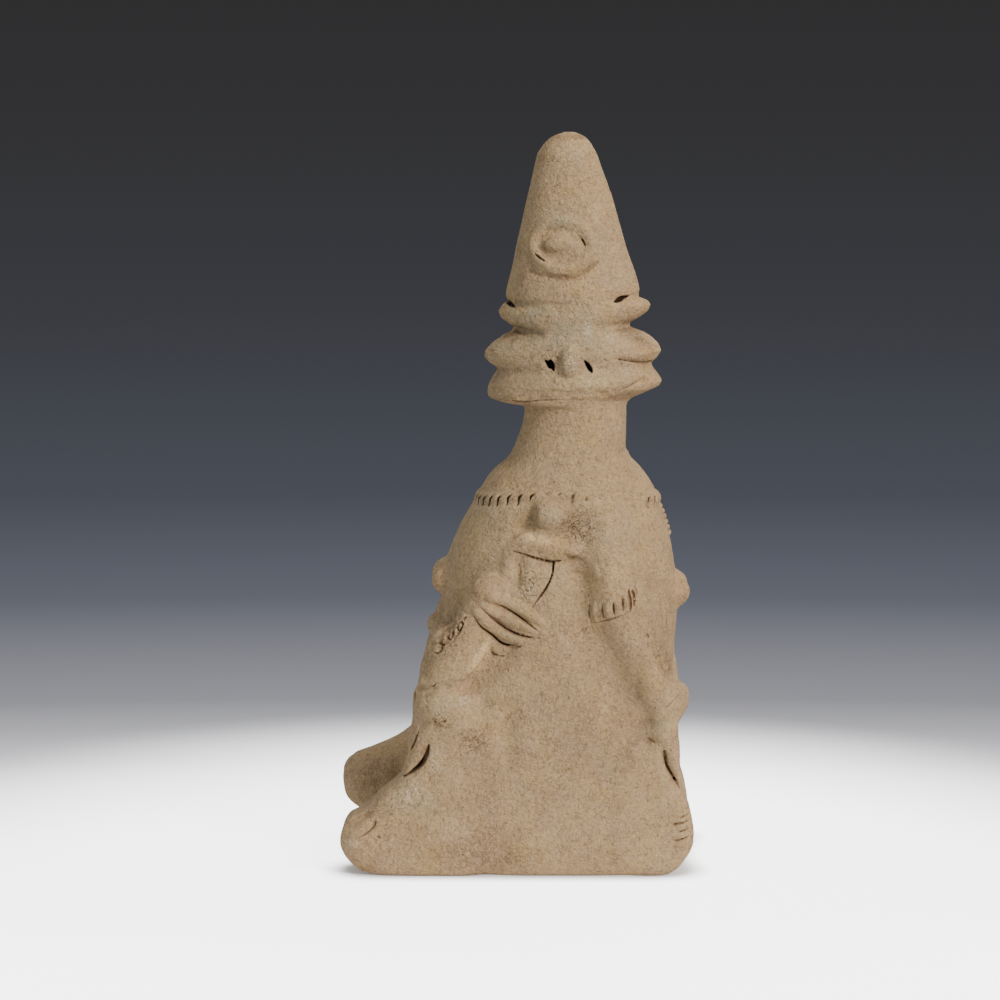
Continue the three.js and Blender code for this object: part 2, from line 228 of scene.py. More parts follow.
@dataclass
class Column:
    """An upright body through rounded-square sections of [height, left, right, half depth, squareness].

    With u and v the point's place over the section's half width and half depth, the body is where
    |u|^n + |v|^n is under 1. The distance is (that sum's nth root less 1) over the length of its slope.
    """

    sections: Rows
    softness: float
    rows: int = 1600
    heights: np.ndarray = field(init=False)
    table: np.ndarray = field(init=False)
    slopes: np.ndarray = field(init=False)

    def __post_init__(self) -> None:
        """Reads the sections into a fine table, softened by a sliding mean over its neighbours."""
        given = np.asarray(self.sections, dtype=float)
        self.heights = np.linspace(given[0, 0], given[-1, 0], self.rows)
        step = self.heights[1] - self.heights[0]
        width = max(1, int(self.softness / step))
        columns = []
        for i in range(1, 5):
            line = np.interp(self.heights, given[:, 0], given[:, i])
            for _ in range(2):
                padded = np.concatenate([np.full(width, line[0]), line, np.full(width, line[-1])])
                total = np.cumsum(np.insert(padded, 0, 0.0))
                line = (total[2 * width + 1 :] - total[: -2 * width - 1]) / (2 * width + 1)
            columns.append(line)
        self.table = np.stack(columns, axis=1)
        self.slopes = np.gradient(self.table, step, axis=0)

    def distance(self, p: np.ndarray) -> np.ndarray:
        """Signed distances of points.

        Args:
            p: Points, one row each.

        Returns:
            One distance for each point, below zero inside the form.
        """
        low, high = self.heights[0], self.heights[-1]
        place = (np.clip(p[:, 2], low, high) - low) / (high - low) * (self.rows - 1)
        row = np.minimum(place.astype(int), self.rows - 2)
        part = (place - row)[:, None]
        left, right, depth, n = (self.table[row] * (1 - part) + self.table[row + 1] * part).T
        d_left, d_right, d_depth, _ = self.slopes[row].T
        wide = (right - left) / 2
        u = (p[:, 0] - (left + right) / 2) / wide
        v = p[:, 1] / depth
        au, av = np.abs(u) + 1e-6, np.abs(v) + 1e-6
        rho = (au**n + av**n) ** (1 / n)
        pull_u, pull_v = (au / rho) ** (n - 1), (av / rho) ** (n - 1)
        rise = pull_u * np.sign(u) * (-(d_left + d_right) / 2 - u * (d_right - d_left) / 2) / wide
        rise -= pull_v * av * d_depth / depth
        slope = np.sqrt((pull_u / wide) ** 2 + (pull_v / depth) ** 2 + rise**2)
        flank = (rho - 1) / slope
        return np.maximum(flank, np.maximum(low - p[:, 2], p[:, 2] - high))

    def reach(self) -> tuple[np.ndarray, np.ndarray]:
        """Lowest and highest corner."""
        left, right, depth = self.table[:, 0].min(), self.table[:, 1].max(), self.table[:, 2].max()
        return np.array([left, -depth, self.heights[0]]), np.array([right, depth, self.heights[-1]])


@dataclass(frozen=True)
class Slab:
    """A leg cut along an outline seen from the ear side, with its rims rounded over.

    Its distance is that of a rounded box whose two sides are the distance to the outline and the distance
    past the near or the far face.
    """

    outline: Sequence[Point2]
    span: tuple[float, float]
    edge: float

    def distance(self, p: np.ndarray) -> np.ndarray:
        """Signed distances of points.

        Args:
            p: Points, one row each.

        Returns:
            One distance for each point, below zero inside the form.
        """
        loop = flowing(self.outline, 5, closed=True)
        ends = np.roll(loop, -1, axis=0)
        x, z = p[:, 0], p[:, 2]
        least = np.full(len(p), FAR_AWAY**2)
        inside = np.zeros(len(p), dtype=bool)
        for (ax, az), (bx, bz) in zip(loop, ends):
            dx, dz = bx - ax, bz - az
            t = np.clip(((x - ax) * dx + (z - az) * dz) / max(dx * dx + dz * dz, 1e-9), 0.0, 1.0)
            least = np.minimum(least, (x - ax - t * dx) ** 2 + (z - az - t * dz) ** 2)
            if bz != az:
                inside ^= ((az > z) != (bz > z)) & (x < ax + (z - az) / (bz - az) * dx)
        flat = np.where(inside, -1.0, 1.0) * np.sqrt(least) + self.edge
        middle, half = sum(self.span) / 2, (self.span[1] - self.span[0]) / 2
        thick = np.abs(p[:, 1] - middle) - half + self.edge
        outer = np.hypot(np.maximum(flat, 0.0), np.maximum(thick, 0.0))
        return outer + np.minimum(np.maximum(flat, thick), 0.0) - self.edge

    def reach(self) -> tuple[np.ndarray, np.ndarray]:
        """Lowest and highest corner.

        Returns:
            The lowest and the highest corner of the box that holds the form.
        """
        loop = flowing(self.outline, 5, closed=True)
        low, high = loop.min(axis=0), loop.max(axis=0)
        return np.array([low[0], self.span[0], low[1]]), np.array([high[0], self.span[1], high[1]])


@dataclass
class Groove:
    """A slit cut square into an ear side, which narrows with its depth.

    Its distance is the distance to the drawn line, seen from the ear side, less the line's radius. The
    radius shrinks by narrowing times the share of the depth that is reached, and the slit ends at its
    depth.
    """

    joints: np.ndarray
    side: Side
    depth: float
    narrowing: float
    headroom: float = 1.0

    def distance(self, p: np.ndarray) -> np.ndarray:
        """Signed distances of points.

        Args:
            p: Points, one row each.

        Returns:
            One distance for each point, below zero inside the form.
        """
        least = np.full(len(p), FAR_AWAY)
        for start, end in zip(self.joints[:-1], self.joints[1:]):
            along = end[[0, 2]] - start[[0, 2]]
            gap = p[:, [0, 2]] - start[[0, 2]]
            t = np.clip(gap @ along / max(along @ along, 1e-9), 0.0, 1.0)
            off = np.linalg.norm(gap - t[:, None] * along, axis=1)
            inward = -self.side.value * (p[:, 1] - start[1] - t * (end[1] - start[1]))
            reached = np.clip(inward / self.depth, 0.0, 1.0)
            radius = (start[3] + t * (end[3] - start[3])) * (1 - self.narrowing * reached)
            ends = np.maximum(inward - self.depth, -inward - self.headroom)
            least = np.minimum(least, np.maximum(off - radius, ends))
        return least

    def reach(self) -> tuple[np.ndarray, np.ndarray]:
        """Lowest and highest corner.

        Returns:
            The lowest and the highest corner of the box that holds the form.
        """
        radius = self.joints[:, 3:4]
        deep = np.array([0.0, self.depth + self.headroom, 0.0])
        low = (self.joints[:, :3] - radius).min(axis=0)
        high = (self.joints[:, :3] + radius).max(axis=0)
        return low - deep, high + deep


@dataclass
class Move:
    """One move of the modeller: a form pressed on or cut away, its fillet, and whether its depth gets painted
    shade.
    """

    form: Form
    joining: Joining
    blend: float
    # whether the cut's depth is painted as shade
    shade_painted: bool
    low: np.ndarray
    high: np.ndarray


@dataclass
class Clay:
    """The whole figure as the modeller's moves in order.

    A move acts within a margin round its form. A large set of points is halved until it is a small set. A
    surface is looked for from outside in even looks, and then by halvings.
    """

    moves: list[Move] = field(default_factory=list)
    margin: float = 1.9
    slit_margin: float = 0.95
    small_set: int = 24000
    foot_fillet: float = 0.5
    outside: float = 19.0
    looks: int = 77
    halvings: int = 9
    least_radius: float = 0.05
    slit_lip: float = 0.06

    def press(self, form: Form, blend: float = 0.6) -> None:
        """Presses a form on, with a fillet."""
        self._add(form, Joining.PRESSED_ON, blend, False)

    def cut(self, form: Form, blend: float = 0.15, shade_painted: bool = False) -> None:
        """Cuts a form away, with a rounded lip."""
        self._add(form, Joining.CUT_AWAY, blend, shade_painted)

    def _add(self, form: Form, joining: Joining, blend: float, shade_painted: bool) -> None:
        """Keeps a move with the box in which it acts.

        Args:
            form: What is pressed on or cut away.
            joining: Which of the two it is.
            blend: Width of the fillet.
            shade_painted: Whether its depth is painted dark as shade.
        """
        low, high = form.reach()
        margin = blend + (self.slit_margin if shade_painted else self.margin)
        self.moves.append(Move(form, joining, blend, shade_painted, low - margin, high + margin))

    def distance(self, p: np.ndarray, bare: bool = False) -> np.ndarray:
        """Signed distances of points from the clay's surface, move by move, above the floor that it stands
        on.

        A large set is halved along its longest side until its parts are small, so that each meets few
        moves.

        Args:
            p: Points, one row each.
            bare: Whether the slits and scores whose depth is painted dark as shade are left out.

        Returns:
            One distance for each point, below zero inside the clay.
        """
        low, high = p.min(axis=0), p.max(axis=0)
        if len(p) > self.small_set:
            axis = int(np.argmax(high - low))
            order = np.argpartition(p[:, axis], len(p) // 2)
            d = np.empty(len(p))
            for half in (order[: len(p) // 2], order[len(p) // 2 :]):
                d[half] = self.distance(p[half], bare)
            return d
        d = np.full(len(p), FAR_AWAY)
        for move in self.moves:
            if (bare and move.shade_painted) or (move.low > high).any() or (move.high < low).any():
                continue
            near = np.flatnonzero(((p > move.low) & (p < move.high)).all(axis=1))
            if not near.size:
                continue
            form = move.form.distance(p[near])
            if move.joining is Joining.PRESSED_ON:
                d[near] = smooth_least(d[near], form, move.blend)
            else:
                d[near] = -smooth_least(-d[near], form, move.blend)
        return -smooth_least(-d, p[:, 2], self.foot_fillet)

    def skin_at(self, x: np.ndarray, z: np.ndarray, side: Side) -> np.ndarray:
        """How far out the clay's surface stands at points of an ear side.

        It steps in from outside until the field first falls below zero, and then halves that step.

        Args:
            x: Places along the width.
            z: Heights.
            side: The ear side that is looked at.

        Returns:
            The Y of the surface at each point.
        """
        sign = side.value
        steps = np.linspace(self.outside, 0.0, self.looks)
        grid = np.stack(np.broadcast_arrays(x[:, None], sign * steps[None, :], z[:, None]), axis=-1)
        inside = self.distance(grid.reshape(-1, 3)).reshape(len(x), -1) < 0
        first = np.where(inside.any(axis=1), inside.argmax(axis=1), len(steps) - 1)
        outer, inner = steps[np.maximum(first - 1, 0)], steps[first]
        for _ in range(self.halvings):
            middle = (outer + inner) / 2
            hit = self.distance(np.stack([x, sign * middle, z], axis=1)) < 0
            outer, inner = np.where(hit, outer, middle), np.where(hit, middle, inner)
        return sign * (outer + inner) / 2

    def on_skin(
        self,
        path: Rows,
        side: Side,
        lift: float = 0.0,
        steps: int = 4,
        closed: bool = False,
    ) -> np.ndarray:
        """Lays a drawn line of (x, z, radius) on an ear side.

        Args:
            path: Points of the line.
            side: The ear side that it is drawn on.
            lift: How far the line stands out of the surface, or below zero how deep it lies.
            steps: Pieces that each span is cut into.
            closed: Whether the line is a ring.

        Returns:
            Joints of (x, y, z, radius).
        """
        line = flowing(path, steps, closed)
        if closed:
            line = np.vstack([line, line[:1]])
        y = self.skin_at(line[:, 0], line[:, 1], side) + side.value * lift
        return np.stack([line[:, 0], y, line[:, 1], np.maximum(line[:, 2], self.least_radius)], axis=1)

    def score(self, path: Rows, side: Side, depth: float = 0.0, blend: float = 0.12) -> None:
        """Scores a line of (x, z, radius) into an ear side."""
        self.cut(Roll(self.on_skin(path, side, -depth)), blend, shade_painted=True)

    def slit(
        self,
        path: Rows,
        side: Side,
        depth: float = 0.5,
        narrowing: float = 0.75,
        shade_painted: bool = True,
    ) -> None:
        """Cuts a slit of (x, z, radius) that narrows with its depth."""
        self.cut(Groove(self.on_skin(path, side), side, depth, narrowing), self.slit_lip, shade_painted)

    def dent(self, path: Rows, side: Side, depth: float, blend: float = 1.2) -> None:
        """Presses a soft hollow of (x, z, radius): a thick roll that only dips depth below the surface.

        Args:
            path: Points of the drawn line.
            side: The ear side that is worked.
            depth: How far the roll dips below the surface.
            blend: Width of the fillet.
        """
        joints = self.on_skin(path, side)
        joints[:, 1] += side.value * (joints[:, 3] - depth)
        self.cut(Roll(joints), blend)

    def lay(
        self,
        path: Rows,
        side: Side,
        lift: float = 0.0,
        blend: float = 0.4,
        flatness: float = 1.0,
    ) -> None:
        """Lays a roll of (x, z, radius) on an ear side."""
        self.press(Roll(self.on_skin(path, side, lift), flatness), blend)


@dataclass
class Trunk:
    """The bell-shaped mass of both torsos and their seat, and the neck."""

    torso: Rows = (
        (-1, -15.9, 12.5, 14.2, 4.2),
        (0, -16.2, 12.8, 14.5, 4.2),
        (1, -16.8, 13.6, 15.0, 4.2),
        (4, -17.4, 14.4, 15.3, 4.2),
        (10, -19, 14.4, 15.3, 4.2),
        (16, -20, 14, 15.2, 4),
        (21, -20.4, 13.9, 14.9, 3.2),
        (25, -20.2, 13.6, 14.7, 3),
        (29, -19.8, 13.6, 14.4, 2.8),
        (33, -19.3, 14, 14.1, 2.7),
        (35, -18.3, 14.1, 13.9, 2.65),
        (37, -18.3, 14.2, 13.7, 2.6),
        (41.4, -17.8, 13.6, 13.1, 2.5),
        (43.6, -16.9, 13.3, 12.6, 2.4),
        (45.8, -15.9, 12.7, 12, 2.4),
        (48, -14.8, 12.1, 11.2, 2.3),
        (50.3, -13.5, 11.3, 10.3, 2.2),
        (52.5, -12.3, 10.3, 9.2, 2.1),
        (53.8, -11.4, 9.4, 8.2, 2.1),
        (55.2, -9.6, 8.2, 7.2, 2.1),
        (56.2, -7, 6.6, 6, 2.1),
    )
    neck: Rows = (
        (47, -11.8, 9, 10.2, 2.1),
        (51, -10.6, 7.8, 9.5, 2.1),
        (54, -9.5, 7.1, 8.4, 2.1),
        (57, -8.4, 6.9, 7.5, 2.1),
        (60, -7.2, 7, 6.9, 2.1),
        (62, -6.9, 7, 6.7, 2.1),
        (65, -7, 7, 6.7, 2.1),
    )

    def model(self, clay: Clay) -> None:
        """Presses the torso and the neck together."""
        clay.press(Column(self.torso, 0.9), 0.0)
        clay.press(Column(self.neck, 0.9), 1.0)


@dataclass
class Head:
    """The cone over the stacked ledges of both faces, with the mouths' gaps and the pits under the brow."""

    sections: Rows = (
        (62.5, -6.6, 6.5, 6.4, 2),
        (63, -7.7, 6.9, 6.9, 2),
        (63.3, -10.4, 7.2, 7.2, 2),
        (63.9, -11.9, 7.8, 7.5, 2),
        (64.5, -12.1, 9.4, 7.8, 2),
        (65.4, -12, 11.5, 8, 2),
        (66.2, -11.7, 11.9, 8.1, 2),
        (67, -11.2, 11.4, 8, 2),
        (67.9, -10.7, 10.7, 7.8, 2),
        (68.6, -11.7, 10.4, 7.8, 2),
        (69.4, -12.5, 11.2, 7.9, 2),
        (70.3, -12.4, 11.8, 8, 2),
        (71.3, -11.4, 11.4, 7.9, 2),
        (72.3, -9.9, 10.4, 7.8, 2),
        (73, -8.6, 9.2, 7.6, 2),
        (73.6, -8.4, 7.4, 7.5, 2),
        (74.2, -9.4, 7.6, 7.5, 2),
        (74.9, -10.2, 8.9, 7.6, 2),
        (75.7, -10.5, 10, 7.7, 2),
        (76.6, -9.9, 10.4, 7.7, 2),
        (77.2, -9.2, 10, 7.7, 2),
        (77.7, -9.5, 8.6, 7.9, 2),
        (78.4, -9.5, 8.8, 7.9, 2),
        (79.2, -9.35, 8.7, 7.8, 2),
        (81.5, -8.7, 8, 7.4, 2.1),
        (84.5, -8.1, 6.9, 6.8, 2.1),
        (88, -7.3, 5.9, 6, 2.1),
        (91.5, -6.6, 4.9, 5.2, 2.1),
        (95, -5.8, 3.6, 4.4, 2.1),
        (97.3, -5.2, 2.8, 3.7, 2.1),
        (98.7, -4.2, 2.0, 2.8, 2),
        (99.5, -3.2, 1.3, 1.9, 2),
        (99.9, -2.2, 0.5, 1.1, 2),
        (100.1, -1.3, -0.3, 0.5, 2),
    )
    gaps: Sequence[Rows] = (
        (
            (-12.5, 3, 74.1, 0.95), (-8.9, 4.4, 73.8, 0.55), (-6.6, 6.6, 73.4, 0.26),
            (-4.8, 8.2, 72.9, 0.08),
        ),
        ((13.2, 3, 74.7, 1.25), (9.2, 4.4, 74.3, 0.72), (6.4, 6.6, 74, 0.4), (4.6, 8.2, 73.7, 0.14)),
        ((13, 3, 68.6, 0.34), (10, 4.6, 68.7, 0.26), (6.4, 6.9, 69.2, 0.2), (3.6, 8.4, 69.5, 0.08)),
        ((-13.6, 3, 67.8, 0.6), (-11, 4.2, 67.9, 0.36), (-8, 6.4, 67.8, 0.16), (-5, 8, 67.3, 0.06)),
    )
    gap_fillets: Sequence[float] = (0.22, 0.22, 0.15, 0.5)

    def model(self, clay: Clay) -> None:
        """Presses the head on the neck and works both faces.

        Args:
            clay: The figure as it stands so far.
        """
        clay.press(Column(self.sections, 0.16), 0.35)
        for side in Side:
            self.work_face(clay, side)

    def work_face(self, clay: Clay, side: Side) -> None:
        """Cuts the gaps between the ledges, which run in from both outlines and die out beside the ear.

        Args:
            clay: The figure as it stands so far.
            side: The ear side that is worked.
        """
        y = side.value
        for gap, blend in zip(self.gaps, self.gap_fillets):
            clay.cut(Roll(np.array([(x, y * deep, z, radius) for x, deep, z, radius in gap])), blend)
        clay.dent([(10, 71.6, 1.3), (8, 72.2, 1.4), (6, 72.8, 1.1)], side, 0.3, 0.3)
        clay.slit([(-9.5, 77.1, 0.2), (-8.9, 76.9, 0.3), (-8.4, 76.6, 0.12)], side, 1.1, 0.4)
        brow_pit = [(5.2, 77.45, 0.1), (5.9, 77.75, 0.34), (6.6, 78.0, 0.2), (7.2, 78.1, 0.06)]
        clay.slit(brow_pit, side, 0.9, 0.5)
        clay.dent([(-8.2, 77, 0.4), (-6.4, 76.9, 0.5), (-4.4, 76.3, 0.4)], side, 0.1, 0.3)
        clay.slit([(9.4, 78.4, 0.14), (8.2, 78.3, 0.1), (7.2, 78.2, 0.06)], side, 0.25)
        clay.slit([(5.2, 69.8, 0.06), (7, 69.4, 0.12), (8.8, 69, 0.16), (10.4, 68.7, 0.26)], side, 0.3)
        clay.slit([(-12.4, 70.5, 0.08), (-11.4, 70.6, 0.14), (-10.5, 70.6, 0.05)], side, 0.25)
        clay.dent([(-8.4, 73.5, 0.4), (-6.6, 73.2, 0.5), (-4.9, 73, 0.4)], side, 0.2, 0.3)
        clay.dent([(9.8, 66.9, 0.5), (7, 65.9, 0.6), (5.2, 65.2, 0.4)], side, 0.2, 0.3)
        clay.slit([(9.4, 67, 0.06), (7, 65.9, 0.12), (5.6, 65.3, 0.05)], side, 0.2)
        clay.dent([(-7.8, 64.8, 0.5), (-4.6, 64.9, 0.7), (-1, 65, 0.6), (4, 64.8, 0.5)], side, 0.14, 0.5)
        chin = [(-8.6, 63.9, 0.12), (-7, 63.8, 0.17), (-5, 64.1, 0.12), (-2, 64.3, 0.1), (1, 64.2, 0.05)]
        clay.slit(chin, side, 0.22)


@dataclass
class Eye:
    """One eye for both faces: a lid ring round a swollen ball, with a pit at each corner."""

    side: Side
    middle: Point2 = (-1.85, 85.05)
    lid_line: tuple[float, float] = (3.9, 3.2)
    lid_radius: float = 1.05
    proud: float = 0.52
    ball: Point3 = (2.4, 0.86, 1.05)
    crease: Rows = (
        (-4.5, -3.5, 0.3), (-3.2, -3.95, 0.34), (-1.6, -4.2, 0.36), (0.2, -4.3, 0.36), (1.8, -4.15, 0.34),
        (3.4, -3.2, 0.26), (4.7, -2.2, 0.16),
    )

    def about(self, line: Rows) -> list[Point3]:
        """Moves a line that is drawn about the eye's middle to its place."""
        return [(self.middle[0] + x, self.middle[1] + z, radius) for x, z, radius in line]

    def model(self, clay: Clay) -> None:
        """Lays the lid, hollows the opening, fills it with the ball and cuts the corners.

        Args:
            clay: The figure as it stands so far.
        """
        x, z = self.middle
        side, out = self.side, self.side.value
        around = np.linspace(0, 2 * math.pi, 20, endpoint=False)
        wide, tall = self.lid_line
        cosine, sine = np.cos(around), np.sin(around)
        radius = self.lid_radius * (1 - 0.24 * cosine**2 + 0.06 * cosine + 0.04 * sine)
        rise = tall * np.sign(sine) * np.abs(sine) ** 1.15
        ring = clay.on_skin(np.stack([x + wide * cosine, z + rise, radius], axis=1), side, 0, 3, closed=True)
        upper = np.clip((ring[:, 2] - z) / tall, 0, 1)
        ring[:, 1] += out * (self.proud * (1 - 0.4 * upper) - ring[:, 3])
        clay.press(Roll(ring), 0.5)
        depth = float(clay.skin_at(np.array([x]), np.array([z - 0.4]), side)[0])
        clay.press(Ball((x - 0.1, depth - out * 0.3, z + 0.15), self.ball), 0.4)
        clay.dent(self.about([(-2.3, -1.15, 0.35), (-0.8, -1.5, 0.4), (1.5, -1.5, 0.35)]), side, 0.12, 0.3)
        clay.slit(self.about([(-3.7, -1.15, 0.13), (-3.1, -1.6, 0.17), (-2.5, -2, 0.1)]), side, 0.4)
        clay.slit(self.about([(-2.5, -2, 0.07), (-1.9, -2.35, 0.08)]), side, 0.2)
        clay.dent(self.about([(-2.4, 1.9, 0.3), (-0.6, 2.2, 0.35), (1.2, 1.9, 0.3)]), side, 0.1, 0.2)
        clay.slit(self.about([(1.7, 1.65, 0.06), (2.3, 1.25, 0.08), (2.7, 0.75, 0.14)]), side, 0.25)
        clay.slit(self.about([(2.7, 0.75, 0.14), (3.05, 0.05, 0.12)]), side, 0.5)
        crease = self.about(self.crease)
        clay.dent(crease, side, 0.26, 0.35)
        clay.slit([(px, pz, 0.26 * radius) for px, pz, radius in crease[:-1]], side, 0.14)


@dataclass
class Ear:
    """One ear for both faces: a soft upright ridge between two pierced holes."""

    side: Side
    middle: Point2 = (-0.88, 69.6)
    holes: Sequence[Sequence[Point3]] = (
        ((-4.15, 69.65, 0.12), (-3.8, 69.2, 0.26), (-3.5, 68.75, 0.3)),
        ((-3.5, 69.6, 0.2), (-3.25, 69.1, 0.34), (-3.05, 68.3, 0.16)),
        ((1.1, 69.65, 0.1), (1.5, 69.1, 0.28), (1.85, 68.5, 0.32), (2.15, 68.0, 0.14)),
    )

    def model(self, clay: Clay) -> None:
        """Presses the ridge on and pierces the holes.

        Args:
            clay: The figure as it stands so far.
        """
        x, z = self.middle
        depth = float(clay.skin_at(np.array([x]), np.array([z]), self.side)[0])
        clay.press(Ball((x, depth, z), (1.3, 1.2, 2.15)), 0.6)
        for hole in self.holes:
            clay.slit(hole, self.side, 3.0, 0.2)


@dataclass
class Necklace:
    """A cord of clay round the foot of the neck, nicked into slanting beads."""

    trunk: Trunk
    height: float = 51.35
    sag: float = 1.35
    thickness: float = 0.94
    sunk: float = 0.46
    bead: float = 8.2

    def ring(self, around: np.ndarray) -> np.ndarray:
        """Points of the cord: the torso's own section at a height that falls by the squared cosine of the
        angle.

        Args:
            around: Angles round the neck.

        Returns:
            One point for each angle.
        """
        height = self.height - self.sag * np.cos(around) ** 2
        rows = np.asarray(self.trunk.torso, dtype=float)
        left, right, deep, square = (np.interp(height, rows[:, 0], rows[:, i]) for i in range(1, 5))
        cosine, sine = np.cos(around), np.sin(around)
        across = (right - left) / 2 * np.sign(cosine) * np.abs(cosine) ** (2 / square)
        along = deep * np.sign(sine) * np.abs(sine) ** (2 / square)
        x = (left + right) / 2 + across - self.sunk * cosine + 0.3 * np.clip(-cosine, 0, 1) ** 8
        return np.stack([x, along - self.sunk * sine, height], axis=1)

    def rubbed(self, degrees: np.ndarray) -> np.ndarray:
        """How far the cord is rubbed away, from 0 to 1: over the second body's shoulders."""
        return np.exp(-(((degrees - 301) / 25) ** 4)) + np.exp(-(((degrees - 62) / 22) ** 4))

    def model(self, clay: Clay) -> None:
        """Lays the cord, nicks it, and sets the fine beads that climb the second body's back.

        Args:
            clay: The figure as it stands so far.
        """
        around = np.linspace(0, 2 * math.pi, 73)
        thick = self.thickness * (1 - 0.42 * self.rubbed(np.degrees(around)))
        clay.press(Roll(np.column_stack([self.ring(around), thick])), 0.3)
        for degrees in np.arange(3.0, 360.0, self.bead):
            worn = float(self.rubbed(np.array([degrees]))[0])
            angle = math.radians(degrees)
            here, ahead = self.ring(np.array([angle, angle + 0.01]))
            along = (ahead - here) / np.linalg.norm(ahead - here)
            here = here + np.array([math.cos(angle), math.sin(angle), 0.15]) * self.thickness * 0.86
            lean, up = along, np.array([0, 0, 1.25])
            start, end = here - lean * 0.5 - up, here + lean + up
            deep = 0.23 * (1 - 0.6 * worn)
            bent = here - along * 0.3
            nick = np.array([[*start, deep * 0.6], [*bent, deep], [*end, deep * 0.5]])
            clay.cut(Roll(nick), 0.12, shade_painted=True)
        climb = flowing([(6.9, 55.9), (8.2, 54.8), (9.6, 53.1), (11, 50.9), (12.2, 48.2), (13.1, 45.2)], 4)
        for x, z in climb:
            clay.press(Ball((x - 0.25, 0, z - 0.1), (0.42, 1.5, 0.36)), 0.15)


@dataclass
class RibBand:
    """A bracelet: rounded ribs side by side, each between two slits of [x, z, half length]."""

    side: Side
    cuts: Sequence[Point3]
    lean: float = 0.16
    bows: tuple[float, float] = (0.0, 0.0)
    proud: float = 0.28
    looped: bool = False
    rib_fillet: float = 0.12
    mark_depth: float = 0.26

    def model(self, clay: Clay) -> None:
        """Presses the ribs on, then draws a ring round each rib or slits the gaps between them.

        Args:
            clay: The figure as it stands so far.
        """
        ribs = []
        for x, z, half, width in self.ribs():
            radius, lean = 0.42 * width, self.lean * half
            path = [(x - lean, z - half, 0.8 * radius), (x, z, radius), (x + lean, z + half, 0.75 * radius)]
            ribs.append(Roll(clay.on_skin(path, self.side, self.proud - radius, 2)))
        for rib in ribs:
            clay.press(rib, self.rib_fillet)
        for mark in self.rings() if self.looped else self.gaps():
            clay.slit(mark, self.side, self.mark_depth)

    def ribs(self) -> list[tuple[float, float, float, float]]:
        """Each rib's place, half length and width, from the two cuts beside it.

        Returns:
            One row of (x, z, half length, width) for each rib.
        """
        rows = []
        for (x0, z0, half0), (x1, z1, half1) in zip(self.cuts[:-1], self.cuts[1:]):
            rows.append(((x0 + x1) / 2, (z0 + z1) / 2, 0.4 * (half0 + half1), math.hypot(x1 - x0, z1 - z0)))
        return rows

    def rings(self) -> list[np.ndarray]:
        """A ring round each rib: an ellipse that leans with it and is wider cut on one flank.

        Returns:
            One closed line for each rib.
        """
        turn = np.linspace(0, 2 * math.pi, 10)
        rings = []
        for x, z, half, width in self.ribs():
            across = x + 0.36 * width * np.cos(turn) + self.lean * half * np.sin(turn)
            rings.append(np.column_stack([across, z + half * np.sin(turn), 0.09 + 0.05 * np.cos(turn + x)]))
        return rings

    def gaps(self) -> list[list[Point3]]:
        """A slit at each cut, which leans and bows, and is widest in its middle.

        Returns:
            One line for each cut.
        """
        bows = np.linspace(*self.bows, len(self.cuts))
        lines = []
        for i, (x, z, half) in enumerate(self.cuts):
            lean = self.lean * half
            low, high = (x - lean, z - half, 0.08), (x + lean, z + half, 0.07)
            lines.append([low, (x + bows[i], z, 0.11 + 0.05 * (i % 3)), high])
        return lines


@dataclass
class Bracelets:
    """The four bracelets: the shown pair follows the photograph, the hidden pair is plainer."""

    knife_arm: Rows = (
        (-19.3, 30.6, 1), (-18.2, 31.9, 0.9), (-17.3, 32.8, 0.7), (-16.6, 33.2, 0.7), (-15.9, 33.9, 0.75),
        (-15.4, 34.6, 0.7), (-14.8, 35.4, 0.5),
    )
    resting_arm: Rows = (
        (1.9, 35.9, 1.35), (3.6, 36.4, 1), (5, 36.9, 0.95), (6.2, 37.5, 1.1), (7.15, 37.75, 1.45),
        (7.65, 38.1, 1), (8, 38.8, 0.75),
    )
    hidden: Sequence[tuple[Point2, Point2]] = (((-17.6, 31.4), (-12.4, 35.4)), ((6, 36.6), (11.2, 33.6)))
    hidden_cuts: int = 7
    hidden_half: float = 0.85

    def model(self, clay: Clay) -> None:
        """Lays the bracelets, and scores the line beside each of the shown two.

        Args:
            clay: The figure as it stands so far.
        """
        shown, many = Side.SHOWN, self.hidden_cuts
        RibBand(shown, self.knife_arm, 0.2, looped=True).model(clay)
        clay.slit([(-17.4, 31.4, 0.06), (-15.9, 33.2, 0.11), (-14.9, 35.5, 0.08)], shown, 0.2)
        RibBand(shown, self.resting_arm, -0.1, (-0.15, 0.22)).model(clay)
        clay.score([(1.9, 34.5, 0.08), (3.4, 34.9, 0.14), (5.3, 35.6, 0.15), (7.1, 36.3, 0.08)], shown, 0.02)
        for (x0, z0), (x1, z1) in self.hidden:
            halves = np.full(many, self.hidden_half)
            cuts = tuple(zip(np.linspace(x0, x1, many), np.linspace(z0, z1, many), halves))
            RibBand(Side.HIDDEN, cuts).model(clay)


